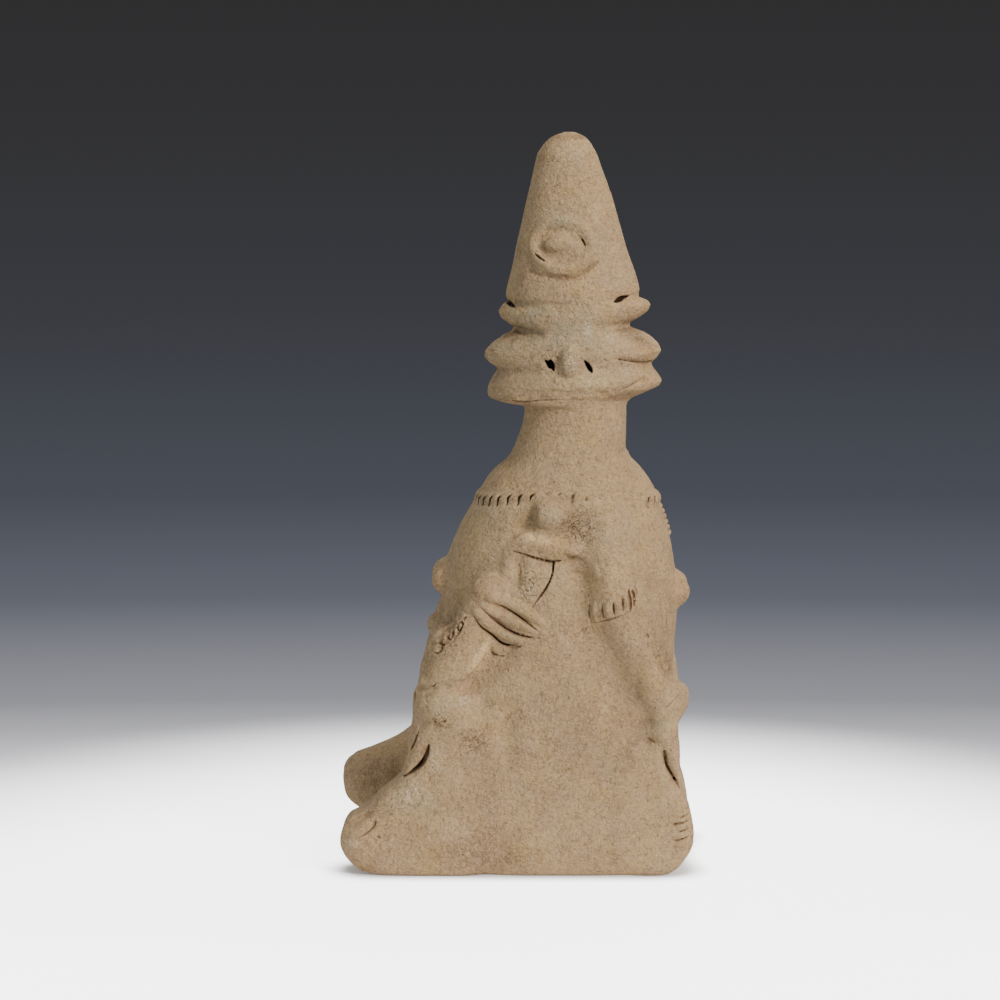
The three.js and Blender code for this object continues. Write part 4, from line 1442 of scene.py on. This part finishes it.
@dataclass(frozen=True)
class FiredClay:
    """Matt, coarse, unglazed clay: warm tan, mottled, with painted shade in its hollows and slits, and crusts
    of pale salts.
    """

    base: Colour = (0.395, 0.258, 0.138)
    light: Colour = (0.56, 0.385, 0.21)
    ochre: Colour = (0.46, 0.295, 0.128)
    pink: Colour = (0.4, 0.256, 0.16)
    dark: Colour = (0.19, 0.113, 0.056)
    green_grey: Colour = (0.36, 0.283, 0.172)
    rust: Colour = (0.52, 0.285, 0.13)
    # painted shade colour for the shaded patches
    painted_shade: Colour = (0.2, 0.125, 0.072)
    # painted shade colour for the depths of slits and scores
    painted_slit_shade: Colour = (0.03, 0.017, 0.009)
    # painted shade colour for hollows, creases and the rims of slits
    painted_hollow_shade: Colour = (0.15, 0.08, 0.04)
    salt: Colour = (0.7, 0.57, 0.38)
    # ochre crust colour, also painted as a highlight on lit ridges
    ochre_crust_and_highlight: Colour = (0.74, 0.5, 0.25)
    roughness: float = 0.95
    specular: float = 0.15

    def material(self) -> bpy.types.Material:
        """Builds the node material.

        Returns:
            The material, which reads Object coordinates and the skin's own attributes.
        """
        made = bpy.data.materials.new("fired_clay")
        made.use_nodes = True
        board = Board(made.node_tree)
        shader = made.node_tree.nodes["Principled BSDF"]
        at = board.node("ShaderNodeTexCoord").outputs["Object"]
        made.node_tree.links.new(self.paint(board, at), shader.inputs["Base Color"])
        made.node_tree.links.new(self.relief(board, at), shader.inputs["Normal"])
        shader.inputs["Roughness"].default_value = self.roughness
        shader.inputs["Specular IOR Level"].default_value = self.specular
        return made

    def attribute(self, board: Board, name: str) -> Socket:
        """Reads one of the skin's attributes."""
        return board.node("ShaderNodeAttribute", attribute_name=name).outputs["Fac"]

    def paint(self, board: Board, at: Socket) -> Socket:
        """Lays the clay's colours over each other, from broad mottling to single grains, with painted shade.

        Args:
            board: The material's nodes.
            at: Object coordinates.

        Returns:
            The finished colour.
        """
        broad = board.noise(at, 0.05, 3.0, 0.55)
        middle = board.noise(at, 0.011, 5.0, 0.65)
        fine = board.noise(at, 0.0021, 3.0, 0.65)
        sand = board.noise(at, 0.001, 2.0, 0.6)
        colour = board.mix(board.ramp(broad, 0.38, 0.68, 0.35), self.base, self.light)
        colour = board.mix(board.ramp(board.noise(at, 0.02, 5.0, 0.6), 0.48, 0.66, 0.6), colour, self.ochre)
        colour = board.mix(board.ramp(board.noise(at, 0.016, 5.0, 0.6), 0.52, 0.36, 0.55), colour, self.pink)
        colour = board.mix(board.ramp(middle, 0.5, 0.7, 0.4), colour, self.light)
        colour = board.mix(board.ramp(middle, 0.47, 0.28, 0.36), colour, self.dark)
        patches = board.noise(at, 0.03, 6.0, 0.65)
        green = board.math("MAXIMUM", board.ramp(patches, 0.54, 0.7, 0.45), self.patch(board, at, "grey"))
        colour = board.mix(green, colour, self.green_grey)
        # painted shade: dark patches where the ledges, flanks, hollows and far leg fall in shade
        colour = board.mix(self.patch(board, at, "painted_shade"), colour, self.painted_shade)
        colour = board.mix(self.patch(board, at, "rust"), colour, self.rust)
        # ochre crust, and a painted highlight on the lit forearm ridge and strap top
        colour = board.mix(self.patch(board, at, "ochre"), colour, self.ochre_crust_and_highlight)
        colour = board.mix(board.ramp(fine, 0.49, 0.3, 0.54), colour, self.dark)
        colour = board.mix(board.ramp(fine, 0.52, 0.7, 0.5), colour, self.light)
        colour = board.mix(board.ramp(sand, 0.46, 0.3, 0.46), colour, self.dark)
        colour = board.mix(board.ramp(sand, 0.55, 0.7, 0.5), colour, self.light)
        hollow, edge = self.attribute(board, "hollow"), self.attribute(board, "edge")
        worn = board.math("MULTIPLY", board.ramp(edge, 0.12, 0.5, 0.6), board.ramp(middle, 0.38, 0.62))
        colour = board.mix(worn, colour, self.light)
        # painted shade: the clay darkens where other clay is near, in hollows and creases
        colour = board.mix(board.ramp(hollow, 0.2, 0.6, 0.45), colour, self.painted_hollow_shade)
        colour = board.mix(board.math("MULTIPLY", self.squiggles(board, at), 0.7), colour, self.dark)
        # painted shade: slits and scores darken to near black with their depth
        carved = self.attribute(board, "carved")
        colour = board.mix(board.ramp(carved, 0.1, 0.5, 0.7), colour, self.painted_hollow_shade)
        colour = board.mix(board.ramp(carved, 0.3, 0.85), colour, self.painted_slit_shade)
        colour = board.mix(self.grains(board, at), colour, self.salt)
        specks = board.ramp(board.noise(at, 0.0015, 3.0, 0.7), 0.46, 0.6)
        return board.mix(board.math("MULTIPLY", self.patch(board, at, "salt"), specks), colour, self.salt)

    def patch(self, board: Board, at: Socket, name: str) -> Socket:
        """One of the stained or shaded patches, broken up by noise so that its rim is ragged."""
        broken = board.ramp(board.noise(at, 0.006, 5.0, 0.65), 0.34, 0.58)
        return board.math("MULTIPLY", self.attribute(board, name), broken)

    def squiggles(self, board: Board, at: Socket) -> Socket:
        """Fine worm-like cracks of the rough patches: the thin lines where a noise crosses one half."""
        off = board.math("ABSOLUTE", board.math("SUBTRACT", board.noise(at, 0.0032, 2.0, 0.5), 0.5), 0.0)
        return board.math("MULTIPLY", self.attribute(board, "rough"), board.ramp(off, 0.045, 0.008))

    def grains(self, board: Board, at: Socket) -> Socket:
        """Scattered pale grit: round spots at one in every few cells of a pattern of 2 mm cells.

        Args:
            board: The material's nodes.
            at: Object coordinates.

        Returns:
            The share of salt colour at each place.
        """
        cells = board.node("ShaderNodeTexVoronoi", {"Vector": at, "Scale": 480.0})
        near = board.ramp(cells.outputs["Distance"], 0.3, 0.16)
        parts = board.node("ShaderNodeSeparateColor", {"Color": cells.outputs["Color"]})
        picked = board.ramp(parts.outputs["Red"], 0.9, 0.97, 0.4)
        return board.math("MULTIPLY", near, picked)

    def relief(self, board: Board, at: Socket) -> Socket:
        """Tilts the shading with drag marks, grit and pinholes, from coarse to fine.

        Args:
            board: The material's nodes.
            at: Object coordinates.

        Returns:
            The tilted normal.
        """
        normal = board.bump(board.noise(at, 0.0085, 4.0, 0.55), 0.002)
        normal = board.bump(board.noise(at, 0.0028, 4.0, 0.62), 0.0014, normal)
        normal = board.bump(board.noise(at, 0.0011, 2.0, 0.6), 0.0007, normal)
        normal = board.bump(board.math("SUBTRACT", 1.0, self.squiggles(board, at)), 0.0008, normal)
        cells = board.node("ShaderNodeTexVoronoi", {"Vector": at, "Scale": 520.0})
        parts = board.node("ShaderNodeSeparateColor", {"Color": cells.outputs["Color"]})
        grit = board.math("MULTIPLY", board.ramp(cells.outputs["Distance"], 0.4, 0.1), parts.outputs["Green"])
        return board.bump(grit, 0.0003, normal)


@dataclass(frozen=True)
class StainOrShade:
    """An oval patch of an ear side that a crust, a tint or painted shade lies on, tipped by some degrees."""

    name: str
    at: Point2
    size: Point2
    strength: float = 1.0
    tipped: float = 0.0
    side: Side = Side.SHOWN

    def reading(self, p: np.ndarray) -> np.ndarray:
        """The patch's strength at points: it falls off by the square of the distance over the oval's radii.

        Args:
            p: Points, one row each.

        Returns:
            One strength for each point.
        """
        turn = math.radians(self.tipped)
        x, z = p[:, 0] - self.at[0], p[:, 2] - self.at[1]
        along = (math.cos(turn) * x + math.sin(turn) * z) / self.size[0]
        across = (math.cos(turn) * z - math.sin(turn) * x) / self.size[1]
        near = np.clip(self.side.value * p[:, 1] / 4, 0, 1)
        return self.strength * near * np.exp(-along * along - across * across)


@dataclass
class Figure:
    """The whole figure: what it is modelled from, how finely, and how it is dressed."""

    trunk: Trunk = field(default_factory=Trunk)
    head: Head = field(default_factory=Head)
    legs: Legs = field(default_factory=Legs)
    arms: Arms = field(default_factory=Arms)
    fronts: Fronts = field(default_factory=Fronts)
    necklace: Necklace = field(default_factory=lambda: Necklace(Trunk()))
    knife_hand: KnifeHand = field(default_factory=KnifeHand)
    bracelets: Bracelets = field(default_factory=Bracelets)
    wear: Wear = field(default_factory=Wear)
    pitch: float = 0.17
    quick_pitch: float = 0.34
    triangles: int = 192000
    dark_depth: float = 0.34
    unworn_foot: float = 1.2
    hollow_reaches: tuple[float, float] = (0.35, 1.0)
    stains_and_shades: Sequence[StainOrShade] = (
        StainOrShade("salt", (-0.7, 69.2), (0.9, 1.4), 0.75),
        StainOrShade("salt", (1.6, 74), (0.5, 1.3), 0.9),
        StainOrShade("salt", (4.8, 72.7), (0.6, 0.8), 1.2),
        StainOrShade("salt", (5.2, 80), (1.4, 0.9), 0.6),
        StainOrShade("salt", (7.5, 68.1), (0.9, 0.9), 0.6),
        StainOrShade("salt", (2.2, 66.5), (1.5, 2), 0.35),
        StainOrShade("salt", (-6.6, 39.1), (1.1, 1.8)),
        StainOrShade("salt", (-16.3, 24), (2.4, 0.7), 0.75),
        StainOrShade("salt", (-18.3, 22.3), (0.8, 0.8), 0.8),
        StainOrShade("salt", (-22.1, 11.5), (2.2, 1.8), 0.65, 30),
        StainOrShade("salt", (-18.9, 16), (1.2, 1.4), 0.5),
        StainOrShade("salt", (-30.2, 4.6), (0.6, 0.4), 0.9),
        StainOrShade("salt", (13, 16), (1.4, 1.6), 0.4, 0, Side.HIDDEN),
        StainOrShade("salt", (3, 70), (2, 1.4), 0.6, 0, Side.HIDDEN),
        StainOrShade("rust", (-9.9, 75.4), (0.6, 1.4), 0.8),
        StainOrShade("rust", (-9.3, 72.6), (1.3, 0.5), 0.9, 25),
        StainOrShade("rust", (9.3, 76.4), (1.1, 1.1), 0.7),
        StainOrShade("rust", (9.6, 70.6), (1.8, 0.6), 0.6),
        StainOrShade("rust", (10.8, 66.7), (1.4, 1), 0.7),
        StainOrShade("rust", (-19, 39), (0.9, 1.6), 0.5),
        StainOrShade("rust", (-3.2, 45.4), (1.4, 0.8), 0.9),
        StainOrShade("rust", (13.9, 38), (1, 1.6), 0.5),
        # ochre crust with a painted highlight on the lit forearm ridge
        StainOrShade("ochre", (-13, 29.8), (2, 0.7), 2.6, 60),
        StainOrShade("ochre", (-20.7, 26.6), (1, 0.5), 0.8),
        # ochre crust with a painted highlight on the lit top of the strap
        StainOrShade("ochre", (-5.4, 46), (2, 0.6), 1.4, -10),
        StainOrShade("ochre", (-9.6, 74.2), (1, 0.5), 1),
        StainOrShade("ochre", (0, 66.8), (5, 1.2), 0.5),
        StainOrShade("rough", (0.2, 47.2), (2.4, 1.9), 1.2),
        StainOrShade("rough", (-6.4, 39.8), (1.4, 2.4), 1),
        StainOrShade("rough", (-17, 33), (2.4, 0.9), 1, 52),
        StainOrShade("rough", (-13.7, 18.8), (2, 1.4), 0.9),
        StainOrShade("rough", (-18, 21.4), (1.8, 1.2), 0.8),
        StainOrShade("rough", (11.6, 30), (0.8, 3), 0.8, 25),
        StainOrShade("rough", (-25, 9), (4, 3), 0.5),
        StainOrShade("rough", (-12, 3), (8, 2), 0.5),
        StainOrShade("rough", (0.4, 33.6), (2, 1.2), 0.6),
        StainOrShade("rough", (-3, 69), (5, 2.4), 0.5),
        StainOrShade("rough", (-18, 30), (5, 6), 0.5, 0, Side.HIDDEN),
        StainOrShade("rust", (-22, 25), (0.9, 0.8), 0.7),
        StainOrShade("rust", (6, 79), (4, 1.2), 0.35, -10),
        StainOrShade("grey", (-6.2, 75.9), (2.8, 1.4), 1.2),
        StainOrShade("grey", (-1.7, 73.2), (7, 2.6), 1.2),
        StainOrShade("grey", (-10.2, 71.3), (1.9, 1), 0.8),
        StainOrShade("grey", (-2.5, 88.3), (2.6, 1), 0.9),
        StainOrShade("grey", (-3.7, 48.7), (1.8, 1.7), 1.1),
        StainOrShade("grey", (11.2, 20.6), (1.8, 0.9), 1, 35),
        StainOrShade("grey", (-12.2, 48.2), (2.2, 2.4), 0.6),
        StainOrShade("grey", (-20.8, 31), (1, 4), 0.6),
        StainOrShade("grey", (-3, 67), (6, 1.6), 0.4),
        # painted shade patches: where the ledges, hollows, flanks and far leg fall in shade
        StainOrShade("painted_shade", (8.6, 72.1), (2.6, 0.8), 0.8, -35),
        StainOrShade("painted_shade", (-7.6, 73.3), (2.4, 0.6), 0.7, -8),
        StainOrShade("painted_shade", (8, 69.3), (2.6, 0.35), 0.8, -12),
        StainOrShade("painted_shade", (-4, 64.5), (5, 0.45), 1),
        StainOrShade("painted_shade", (-7.7, 85.9), (0.7, 2.4), 0.35),
        StainOrShade("painted_shade", (-6.8, 48.3), (1.2, 1.1), 0.9),
        StainOrShade("painted_shade", (-9.8, 46), (1.6, 2.6), 0.4, 30),
        StainOrShade("painted_shade", (-13.4, 40.6), (2, 2.4), 0.5),
        StainOrShade("painted_shade", (-17.2, 33.8), (2.4, 3.6), 0.55),
        StainOrShade("painted_shade", (-18.6, 44), (1.6, 7), 0.3, -20),
        StainOrShade("painted_shade", (3.6, 26.8), (5, 1.8), 0.35, -57),
        StainOrShade("painted_shade", (0, 20), (14, 13), 0.28),
        StainOrShade("painted_shade", (12, 32), (5, 9), 0.32),
        StainOrShade("painted_shade", (-5, 84), (3, 1), 0.1),
        StainOrShade("painted_shade", (10, 18.8), (0.9, 0.9), 0.7),
        StainOrShade("painted_shade", (0.4, 39.5), (1, 2.8), 0.35),
        StainOrShade("painted_shade", (-12, 2.5), (7, 1.6), 0.35),
        StainOrShade("painted_shade", (-20.9, 16), (0.7, 2), 1.3, -35),
        StainOrShade("painted_shade", (12.4, 15.6), (0.5, 2), 0.8, 20),
        StainOrShade("painted_shade", (-27, 10), (5, 3.6), 0.55, 0, Side.HIDDEN),
        StainOrShade("painted_shade", (-14, 30), (4, 6), 0.3, 20, Side.HIDDEN),
    )

    def clay(self) -> Clay:
        """Makes every move of the modelling in order.

        Returns:
            The finished field.
        """
        clay = Clay()
        for part in (self.trunk, self.fronts, self.legs, self.arms, self.head):
            part.model(clay)
            LOG.info("%s: %d moves so far", type(part).__name__, len(clay.moves))
        for side in Side:
            Eye(side).model(clay)
            Ear(side).model(clay)
        self.necklace.model(clay)
        self.knife_hand.model(clay)
        self.bracelets.model(clay)
        LOG.info("details: %d moves in all", len(clay.moves))
        return clay

    def build(self) -> bpy.types.Object:
        """Makes the skin, wears it, thins it, reads its attributes and dresses it.

        Returns:
            The finished piece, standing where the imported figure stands.
        """
        clay = self.clay()
        skin = Skin(clay, self.pitch)
        points, quads = skin.surface()
        LOG.info("skin: %d points, %d quads", len(points), len(quads))
        _, slope = skin.slope(points, 0.1)
        normals = slope / np.maximum(np.linalg.norm(slope, axis=1, keepdims=True), 1e-6)
        standing = np.clip(points[:, 2:3] / self.unworn_foot, 0, 1)
        points = points + normals * self.wear.shift(points)[:, None] * standing
        points[:, 2] = np.maximum(points[:, 2], 0.0)
        piece = self.thinned(points, quads)
        self.read_attributes(piece, skin)
        self.place(piece)
        piece.data.materials.append(FiredClay().material())
        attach(piece, "root")
        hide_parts("figure")
        LOG.info("%s: %d faces", piece.name, len(piece.data.polygons))
        return piece

    def thinned(self, points: np.ndarray, quads: np.ndarray) -> bpy.types.Object:
        """Puts the skin in a mesh and thins it to the wanted number of triangles.

        Args:
            points: Points, one row each.
            quads: Four point numbers for each face, facing outwards.

        Returns:
            The piece, still in hundredths.
        """
        mesh = bpy.data.meshes.new("figure_skin")
        mesh.vertices.add(len(points))
        mesh.vertices.foreach_set("co", points.ravel())
        mesh.loops.add(quads.size)
        mesh.loops.foreach_set("vertex_index", quads.ravel().astype(np.int32))
        mesh.polygons.add(len(quads))
        mesh.polygons.foreach_set("loop_start", np.arange(0, quads.size, 4, dtype=np.int32))
        mesh.update(calc_edges=True)
        mesh.validate()
        rough = bpy.data.objects.new("figure_skin", mesh)
        bpy.context.scene.collection.objects.link(rough)
        thin = rough.modifiers.new("thin", "DECIMATE")
        thin.ratio = min(1.0, self.triangles / (2 * len(quads)))
        bpy.context.view_layer.update()
        done = bpy.data.meshes.new_from_object(rough.evaluated_get(bpy.context.evaluated_depsgraph_get()))
        bpy.data.objects.remove(rough)
        bpy.data.meshes.remove(mesh)
        LOG.info("crumbs: %d points taken off", self.clear_crumbs(done))
        done.name = "figure_clay"
        done.polygons.foreach_set("use_smooth", np.ones(len(done.polygons), dtype=bool))
        piece = bpy.data.objects.new("figure_clay", done)
        bpy.context.scene.collection.objects.link(piece)
        return piece

    def clear_crumbs(self, mesh: bpy.types.Mesh) -> int:
        """Deletes what hangs loose where a slit or the wear has cut a grain of clay off the figure.

        Each point takes the least number among its neighbours, over and over, until all points of a loose
        part share one number. The part with the most points stays.

        Args:
            mesh: The thinned skin.

        Returns:
            How many points were deleted.
        """
        ends = np.empty(len(mesh.edges) * 2, dtype=np.int32)
        mesh.edges.foreach_get("vertices", ends)
        start, end = ends.reshape(-1, 2).T
        names = np.arange(len(mesh.vertices))
        settled = False
        while not settled:
            least = np.minimum(names[start], names[end])
            after = names.copy()
            np.minimum.at(after, start, least)
            np.minimum.at(after, end, least)
            after = after[after]
            settled = bool((after == names).all())
            names = after
        crumbs = np.flatnonzero(names != np.bincount(names).argmax())
        whole = bmesh.new()
        whole.from_mesh(mesh)
        whole.verts.ensure_lookup_table()
        bmesh.ops.delete(whole, geom=[whole.verts[i] for i in crumbs], context="VERTS")
        whole.to_mesh(mesh)
        whole.free()
        return len(crumbs)

    def read_attributes(self, piece: bpy.types.Object, skin: Skin) -> None:
        """Reads how hollow, edged or carved the skin is, and how strong each stained or shaded patch is.

        Hollow is how much closer the clay is than the reach, one reach out from the surface; edge is how
        much thinner it is than the reach, one reach in. Carved is how far the point lies below the skin
        that was there before the slits, over the depth at which the painted slit shade is darkest.

        Args:
            piece: The figure's skin.
            skin: The skin's maker, which knows the field.
        """
        count = len(piece.data.vertices)
        points = np.empty(count * 3)
        piece.data.vertices.foreach_get("co", points)
        points = points.reshape(-1, 3)
        _, slope = skin.slope(points, 0.12)
        normals = slope / np.maximum(np.linalg.norm(slope, axis=1, keepdims=True), 1e-6)
        hollow, edge = np.zeros(count), np.zeros(count)
        share = 1 / len(self.hollow_reaches)
        for reach in self.hollow_reaches:
            hollow += share * np.clip(1 - skin.clay.distance(points + normals * reach) / reach, 0, 1)
            edge += share * np.clip(1 + skin.clay.distance(points - normals * reach) / reach, 0, 1)
        carved = (skin.clay.distance(points) - skin.clay.distance(points, bare=True)) / self.dark_depth
        values = {"hollow": hollow, "edge": edge, "carved": np.clip(carved, 0, 1)}
        for stain_or_shade in self.stains_and_shades:
            held = values.get(stain_or_shade.name, np.zeros(count))
            values[stain_or_shade.name] = np.maximum(held, stain_or_shade.reading(points))
        for name, value in values.items():
            layer = piece.data.attributes.new(name, "FLOAT", "POINT")
            layer.data.foreach_set("value", value.astype(np.float32))

    def place(self, piece: bpy.types.Object) -> None:
        """Turns the skin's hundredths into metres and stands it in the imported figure's box.

        Args:
            piece: The figure's skin.
        """
        low, high = (np.array(corner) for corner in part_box("figure"))
        points = np.empty(len(piece.data.vertices) * 3)
        piece.data.vertices.foreach_get("co", points)
        points = points.reshape(-1, 3) * SHARE
        middle = (points.min(axis=0) + points.max(axis=0)) / 2
        points[:, :2] += ((low + high) / 2 - middle)[:2]
        piece.data.vertices.foreach_set("co", points.ravel())
        piece.data.update()


@dataclass(frozen=True)
class SoftLight:
    """A square soft light, aimed at the middle of the figure."""

    name: str
    at: Point3
    width: float
    power: float
    tint: Colour = (1.0, 1.0, 1.0)

    def hang(self, target: Vector) -> None:
        """Makes the light and turns it to the target.

        Args:
            target: The point that the light looks at.
        """
        light = bpy.data.lights.new(self.name, "AREA")
        light.size = self.width
        light.energy = self.power
        light.color = self.tint
        holder = bpy.data.objects.new(self.name, light)
        holder.location = self.at
        holder.rotation_euler = (target - Vector(self.at)).to_track_quat("-Z", "Y").to_euler()
        bpy.context.scene.collection.objects.link(holder)


@dataclass
class Studio:
    """A pale floor that fades out, soft lights, a backdrop that darkens upwards, and the camera."""

    elevation: float = 7.5
    distance: float = 2.2
    lens: float = 143.69
    shift: tuple[float, float] = (-0.015, -0.003)
    floor_grey: Colour = (0.93, 0.93, 0.935)
    floor_glow: float = 3.7
    floor_radius: float = 0.5
    floor_gap: float = 0.0002
    floor_rings: int = 24
    floor_around: int = 96
    contact_reach: float = 0.02
    ambient: float = 0.345
    ambient_tint: Colour = (0.88, 0.96, 1.0)
    backdrop: Sequence[tuple[float, float, float, float]] = (
        (-0.24, 5.5, 5.5, 5.5),
        (-0.216, 4, 4, 4.05),
        (-0.205, 2.2, 2.2, 2.25),
        (-0.195, 0.92, 0.92, 0.96),
        (-0.187, 0.53, 0.53, 0.56),
        (-0.18, 0.323, 0.323, 0.356),
        (-0.155, 0.127, 0.135, 0.165),
        (-0.13, 0.074, 0.08, 0.1),
        (-0.085, 0.05, 0.051, 0.06),
        (-0.04, 0.0395, 0.0395, 0.0425),
        (0.02, 0.0305, 0.0305, 0.0305),
    )
    lights: Sequence[SoftLight] = (
        SoftLight("key", (1.3, -1.4, 1.1), 0.6, 50, (1.0, 0.975, 0.94)),
        SoftLight("fill", (-1.6, -1.4, 0.6), 1.4, 12, (0.78, 0.9, 1.0)),
        SoftLight("overhead", (0.3, 0.1, 1.9), 1.4, 16),
        SoftLight("back", (0.5, 1.7, 1.0), 1.2, 9),
    )

    def build(self) -> None:
        """Sets up the whole studio."""
        target = Vector((0, 0, HEIGHT / 2))
        for light in self.lights:
            light.hang(target)
        self.lay_floor()
        self.hang_backdrop()
        camera = bpy.data.cameras.new("camera")
        camera.lens = self.lens
        camera.sensor_width = 36.0
        camera.shift_x, camera.shift_y = self.shift
        holder = bpy.data.objects.new("camera", camera)
        tilt = math.radians(self.elevation)
        holder.location = target + self.distance * Vector((0, -math.cos(tilt), math.sin(tilt)))
        holder.rotation_euler = (target - holder.location).to_track_quat("-Z", "Y").to_euler()
        bpy.context.scene.collection.objects.link(holder)
        bpy.context.scene.camera = holder
        LOG.info("studio: %d lights, floor, backdrop and camera", len(self.lights))

    def lay_floor(self) -> None:
        """Lays a round floor: points on rings at even steps out and round, a little under the figure's
        foot.
        """
        rings, around = self.floor_rings, self.floor_around
        radius = np.linspace(0.001, self.floor_radius, rings)[:, None]
        angle = np.linspace(0, 2 * math.pi, around, endpoint=False)[None, :]
        x, y = radius * np.cos(angle), radius * np.sin(angle)
        points = np.stack([x, y, np.full_like(x, -self.floor_gap)], axis=-1)
        i, j = np.meshgrid(np.arange(rings - 1), np.arange(around), indexing="ij")
        nxt = (j + 1) % around
        inner, outer = i * around, (i + 1) * around
        quads = np.stack([inner + j, outer + j, outer + nxt, inner + nxt], axis=-1)
        faces = quads.reshape(-1, 4).tolist() + [list(range(around))]
        mesh = bpy.data.meshes.new("floor")
        mesh.from_pydata(points.reshape(-1, 3).tolist(), [], faces)
        mesh.update()
        mesh.materials.append(self.floor_material())
        floor = bpy.data.objects.new("floor", mesh)
        bpy.context.scene.collection.objects.link(floor)

    def floor_material(self) -> bpy.types.Material:
        """A pale matt floor with a painted contact shadow where the figure touches it, and whose rim is
        see-through.

        Returns:
            The material.
        """
        made = bpy.data.materials.new("floor")
        made.use_nodes = True
        board = Board(made.node_tree)
        shader = made.node_tree.nodes["Principled BSDF"]
        shader.inputs["Base Color"].default_value = (*self.floor_grey, 1.0)
        shader.inputs["Roughness"].default_value = 0.9
        shader.inputs["Specular IOR Level"].default_value = 0.1
        shader.inputs["Emission Color"].default_value = (1.0, 1.0, 1.0, 1.0)
        at = board.node("ShaderNodeTexCoord").outputs["Object"]
        far = board.node("ShaderNodeVectorMath", {0: at}, operation="LENGTH").outputs["Value"]
        fade = board.ramp(far, self.floor_radius * 0.9, 0.14)
        seen = board.node("ShaderNodeLightPath").outputs["Is Camera Ray"]
        # painted contact shadow: the floor's glow dims where the figure is near
        room = board.node("ShaderNodeAmbientOcclusion", {"Distance": self.contact_reach}).outputs["AO"]
        glow = board.math("MULTIPLY", seen, self.floor_glow)
        glow = board.math("MULTIPLY", glow, board.ramp(room, 0.42, 0.98))
        made.node_tree.links.new(fade, shader.inputs["Alpha"])
        made.node_tree.links.new(board.math("ADD", glow, 0.12), shader.inputs["Emission Strength"])
        return made

    def hang_backdrop(self) -> None:
        """Lights the room evenly, and shows a backdrop that darkens with the height of the line of sight."""
        world = bpy.data.worlds.new("room")
        bpy.context.scene.world = world
        world.use_nodes = True
        tree = world.node_tree
        board = Board(tree)
        tree.nodes.clear()
        at = board.node("ShaderNodeTexCoord").outputs["Generated"]
        rise = board.node("ShaderNodeSeparateXYZ", {"Vector": at}).outputs["Z"]
        low, high = self.backdrop[0][0], self.backdrop[-1][0]
        place = board.node("ShaderNodeMapRange", {"Value": rise, "From Min": low, "From Max": high})
        ramp = board.node("ShaderNodeValToRGB", {"Fac": place.outputs["Result"]})
        stops = ramp.color_ramp.elements
        while len(stops) < len(self.backdrop):
            stops.new(0.5)
        brightest = self.backdrop[0][1]
        for stop, (rise_at, *colour) in zip(stops, self.backdrop):
            stop.position = (rise_at - low) / (high - low)
            stop.color = (*(part / brightest for part in colour), 1.0)
        seen = board.node("ShaderNodeBackground", {"Color": ramp.outputs["Color"], "Strength": brightest})
        tint = (*self.ambient_tint, 1.0)
        lit = board.node("ShaderNodeBackground", {"Color": tint, "Strength": self.ambient})
        ray = board.node("ShaderNodeLightPath").outputs["Is Camera Ray"]
        both = board.node("ShaderNodeMixShader", {0: ray, 1: lit.outputs[0], 2: seen.outputs[0]})
        board.node("ShaderNodeOutputWorld", {"Surface": both.outputs[0]})


def main() -> None:
    """Loads the frame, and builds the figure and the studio."""
    logging.basicConfig(level=logging.INFO, format="%(name)s %(message)s")
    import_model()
    Figure().build()
    Studio().build()


if __name__ == "__main__":
    main()
